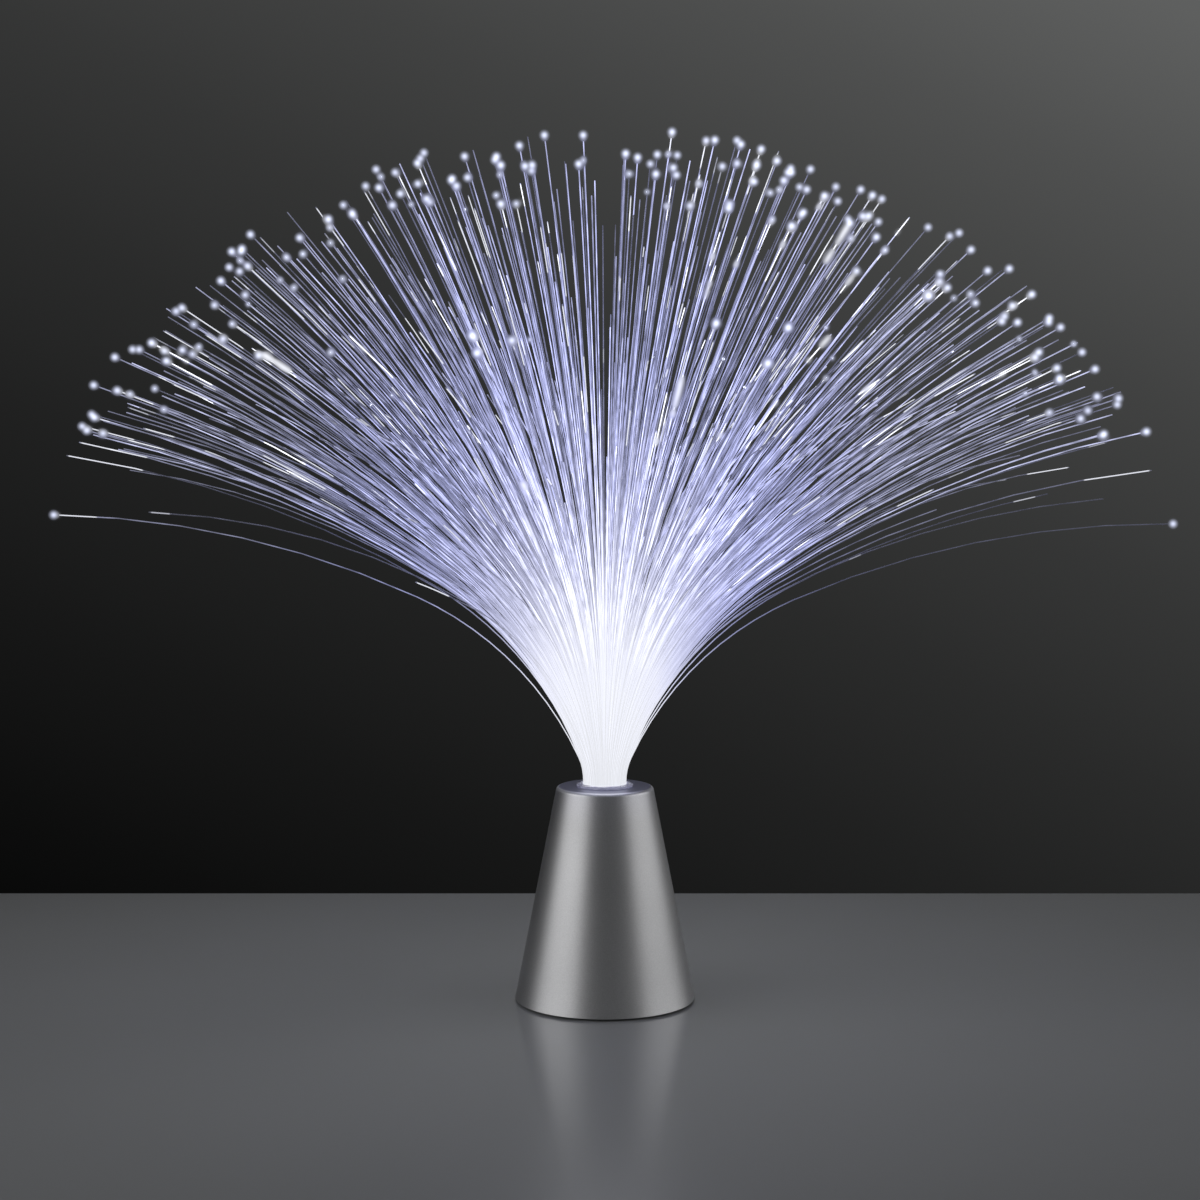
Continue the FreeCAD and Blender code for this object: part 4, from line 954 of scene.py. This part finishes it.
# %% Colours and pattern of the shafts
SHAFT_COLOURS = (
    (0.00, (0.70, 0.71, 0.73)),
    (0.14, (0.74, 0.75, 0.79)),
    (0.24, (0.71, 0.72, 0.81)),
    (0.33, (0.56, 0.575, 0.74)),
    (0.45, (0.40, 0.415, 0.63)),
    (0.58, (0.32, 0.34, 0.58)),
    (0.75, (0.25, 0.265, 0.45)),
    (0.90, (0.24, 0.25, 0.38)),
    (1.00, (0.24, 0.25, 0.36)),
)
EVEN_BELOW, UNEVEN_ABOVE = 0.045, 0.115
PAINTED_GLINT_COLOUR = (0.90, 0.92, 1.00)
PAINTED_GLINT_GLOW = 0.86
STREAK_FADE = 0.0012
STREAK_FORCE_LEAST = 0.5
DASH_LENGTH = 0.007
DASH_DEPTH = 0.45
PATTERN_STEP = 3.7
NOISE_LOW, NOISE_HIGH = 0.30, 0.70


def carried(tree, name):
    return add_node(tree, "ShaderNodeAttribute", {"attribute_name": name}).outputs["Fac"]


shaft, tree, shader = start_finish("glowing_shaft")
climb = carried(tree, "climb")
share_up = fit(tree, carried(tree, "fade"), 0.0, FULL_LENGTH * MM, 0.0, 1.0)
colour = ramp(tree, share_up, [(place, rgb(*tint)) for place, tint in SHAFT_COLOURS])

own_place = add_node(
    tree, "ShaderNodeCombineXYZ",
    X=work_out(tree, "MULTIPLY", climb, 1 / DASH_LENGTH),
    Y=work_out(tree, "MULTIPLY", carried(tree, "number"), PATTERN_STEP),
).outputs["Vector"]
pattern = add_node(tree, "ShaderNodeTexNoise", Vector=own_place, Scale=1.0, Detail=1.0)
dashes = fit(
    tree, pattern.outputs["Fac"], NOISE_LOW, NOISE_HIGH, 1 - DASH_DEPTH, 1 + DASH_DEPTH,
)
own = work_out(tree, "MULTIPLY", carried(tree, "glow"), dashes)
uneven = fit(tree, climb, EVEN_BELOW, UNEVEN_ABOVE, 0.0, 1.0)
own_part = work_out(tree, "MULTIPLY", work_out(tree, "SUBTRACT", own, 1.0), uneven)
strength = work_out(tree, "ADD", own_part, 1.0)

# The painted glint: whiter, brighter emission around the streak's middle.
away = work_out(tree, "ABSOLUTE", carried(tree, "from_streak"))
half = carried(tree, "half_streak")
inside = work_out(tree, "SUBTRACT", half, away)
near = fit(tree, inside, 0.0, STREAK_FADE, 0.0, 1.0, smooth=True)
force = fit(tree, half, STREAK_SHORT * MM, 2 * STREAK_SHORT * MM, STREAK_FORCE_LEAST, 1.0)
streak = work_out(tree, "MULTIPLY", near, force)
tree.links.new(blend(tree, streak, colour, rgb(*PAINTED_GLINT_COLOUR)), shader.inputs["Emission Color"])
tree.links.new(
    work_out(tree, "MAXIMUM", strength, work_out(tree, "MULTIPLY", streak, PAINTED_GLINT_GLOW)),
    shader.inputs["Emission Strength"],
)
shader.inputs["Base Color"].default_value = rgb(0.16, 0.165, 0.22)
shader.inputs["Roughness"].default_value = 0.22
shaft.cycles.emission_sampling = "NONE"
print("shaft colours:", len(SHAFT_COLOURS))

# %% [markdown]
# ### How the beads glow
#
# A bead sends out nearly all the light that its fibre still carries, so it is far brighter
# than white, and a bright fibre has a bright bead. Beads and shafts aren't searched for as
# lamps when the picture is made, because hundreds of tiny lamps would only add noise.

# %% Glow of the beads
DIM_BEAD, BRIGHT_BEAD = 3.2, 4.2

end, tree, shader = start_finish("glowing_end")
bead_glow = fit(
    tree, carried(tree, "glow"), LEAST_GLOW, LEAST_GLOW + GLOW_RANGE, DIM_BEAD, BRIGHT_BEAD,
)
tree.links.new(bead_glow, shader.inputs["Emission Strength"])
shader.inputs["Emission Color"].default_value = rgb(0.72, 0.77, 1.0)
shader.inputs["Base Color"].default_value = rgb(0.8, 0.82, 0.9)
shader.inputs["Roughness"].default_value = 0.1
end.cycles.emission_sampling = "NONE"
print("beads glow from", DIM_BEAD, "to", BRIGHT_BEAD)

# %% [markdown]
# ### One mesh for many rods
#
# One mesh for each fibre would be slow to handle, so a whole tuft of them becomes one mesh.
# The numbers on the points are kept as attributes of the mesh, where the shader can read
# them. The faces of the beads get the second of its two finishes.

# %% Gather the rods of a tuft in one mesh
def tuft_mesh(name, members):
    mesh = bpy.data.meshes.new(name)
    verts, faces, lit, numbers = [], [], [], {}
    start = 0
    for index in members:
        rings, values, beaded = rod(index)
        new_faces, new_lit = rod_faces(start, len(rings) // SIDES, beaded)
        verts.append(rings)
        faces += new_faces
        lit += new_lit
        for label, row in values.items():
            numbers.setdefault(label, []).append(row)
        start += len(rings)
    mesh.from_pydata(np.concatenate(verts).tolist(), [], faces)
    for label, rows in numbers.items():
        layer = mesh.attributes.new(label, "FLOAT", "POINT")
        layer.data.foreach_set("value", np.concatenate(rows))
    mesh.polygons.foreach_set("material_index", [int(face) for face in lit])
    mesh.polygons.foreach_set("use_smooth", [True] * len(faces))
    return mesh


print("a tuft has two finishes, one for shafts and one for beads")

# %% [markdown]
# ### Sixteen tufts
#
# One mesh for all the fibres would be hard to pick apart. So they are gathered by direction
# into sixteen tufts, like slices of a cake. Each tuft stands for the plain solid tuft in the
# same place, and rides with the ferrule when the spray is pulled out.

# %% Stand the fibres in the collar
TUFTS = 16

tufts = [[] for _ in range(TUFTS)]
for index in range(FIBRE_COUNT):
    _, angle = fibre_root(index)
    tufts[int((math.degrees(angle) % 360) / 360 * TUFTS)].append(index)
for number, members in enumerate(tufts, start=1):
    mesh = tuft_mesh(f"glowing_tuft_{number:02d}", members)
    mesh.materials.append(shaft)
    mesh.materials.append(end)
    tuft = bpy.data.objects.new(mesh.name, mesh)
    scene.collection.objects.link(tuft)
    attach(tuft, "spray")
    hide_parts(f"fibre_tuft_{number:02d}")
print("tufts:", TUFTS, "faces in the last one:", len(mesh.polygons))

# %% [markdown]
# ## Soft points
#
# A small bright point smears inside a camera lens, and the thin lines beside it stay sharp.
# The compositor makes a blurred copy of the picture. It picks out everything that is much
# brighter than white, which is only the beads, widens that into a mask, and shows the
# blurred copy inside the mask. A dimmed sharp copy is laid over it wherever that is
# lighter, so that a bead that is far from the camera keeps its bright middle.

# %% Soften the points
PICK_ABOVE = 1.7
SMEAR_SHARE = 0.0049
MASK_SHARE = 0.0062
MASK_GAIN = 40.0
SHARP_SHARE = 0.28


def smeared(tree, source, share):
    """Blur by a share of the picture's width, so that it looks the same at every size."""
    size = tree.nodes.new("CompositorNodeRelativeToPixel")
    size.data_type = "FLOAT"
    size.reference_dimension = "X"
    size.inputs[1].default_value = share
    node = tree.nodes.new("CompositorNodeBlur")
    node.filter_type = "GAUSS"
    tree.links.new(source, size.inputs["Image"])
    tree.links.new(source, node.inputs["Image"])
    tree.links.new(size.outputs[0], node.inputs["Size"])
    return node.outputs["Image"]


def mixed(tree, kind, share, under, over):
    """Lay one picture over another; each is a link or a colour."""
    node = tree.nodes.new("CompositorNodeMixRGB")
    node.blend_type = kind
    for socket, source in zip(node.inputs, (share, under, over)):
        plug_in(tree, socket, source)
    return node.outputs["Image"]


scene.view_settings.view_transform = "Standard"
scene.use_nodes = True
tree = scene.node_tree
tree.nodes.clear()
sharp = tree.nodes.new("CompositorNodeRLayers").outputs["Image"]
pick = tree.nodes.new("CompositorNodeGlare")
pick.glare_type = "BLOOM"
pick.quality = "HIGH"
pick.inputs["Threshold"].default_value = PICK_ABOVE
pick.inputs["Strength"].default_value = 0.0
tree.links.new(sharp, pick.inputs["Image"])
wide = smeared(tree, pick.outputs["Highlights"], MASK_SHARE)
mask = mixed(tree, "MULTIPLY", 1.0, wide, rgb(MASK_GAIN, MASK_GAIN, MASK_GAIN))
mask.node.use_clamp = True
dimmed = mixed(tree, "MULTIPLY", 1.0, sharp, rgb(SHARP_SHARE, SHARP_SHARE, SHARP_SHARE))
soft = mixed(tree, "LIGHTEN", 1.0, smeared(tree, sharp, SMEAR_SHARE), dimmed)
picture = tree.nodes.new("CompositorNodeComposite")
tree.links.new(mixed(tree, "MIX", mask, sharp, soft), picture.inputs["Image"])
print("points above", PICK_ABOVE, "are softened")
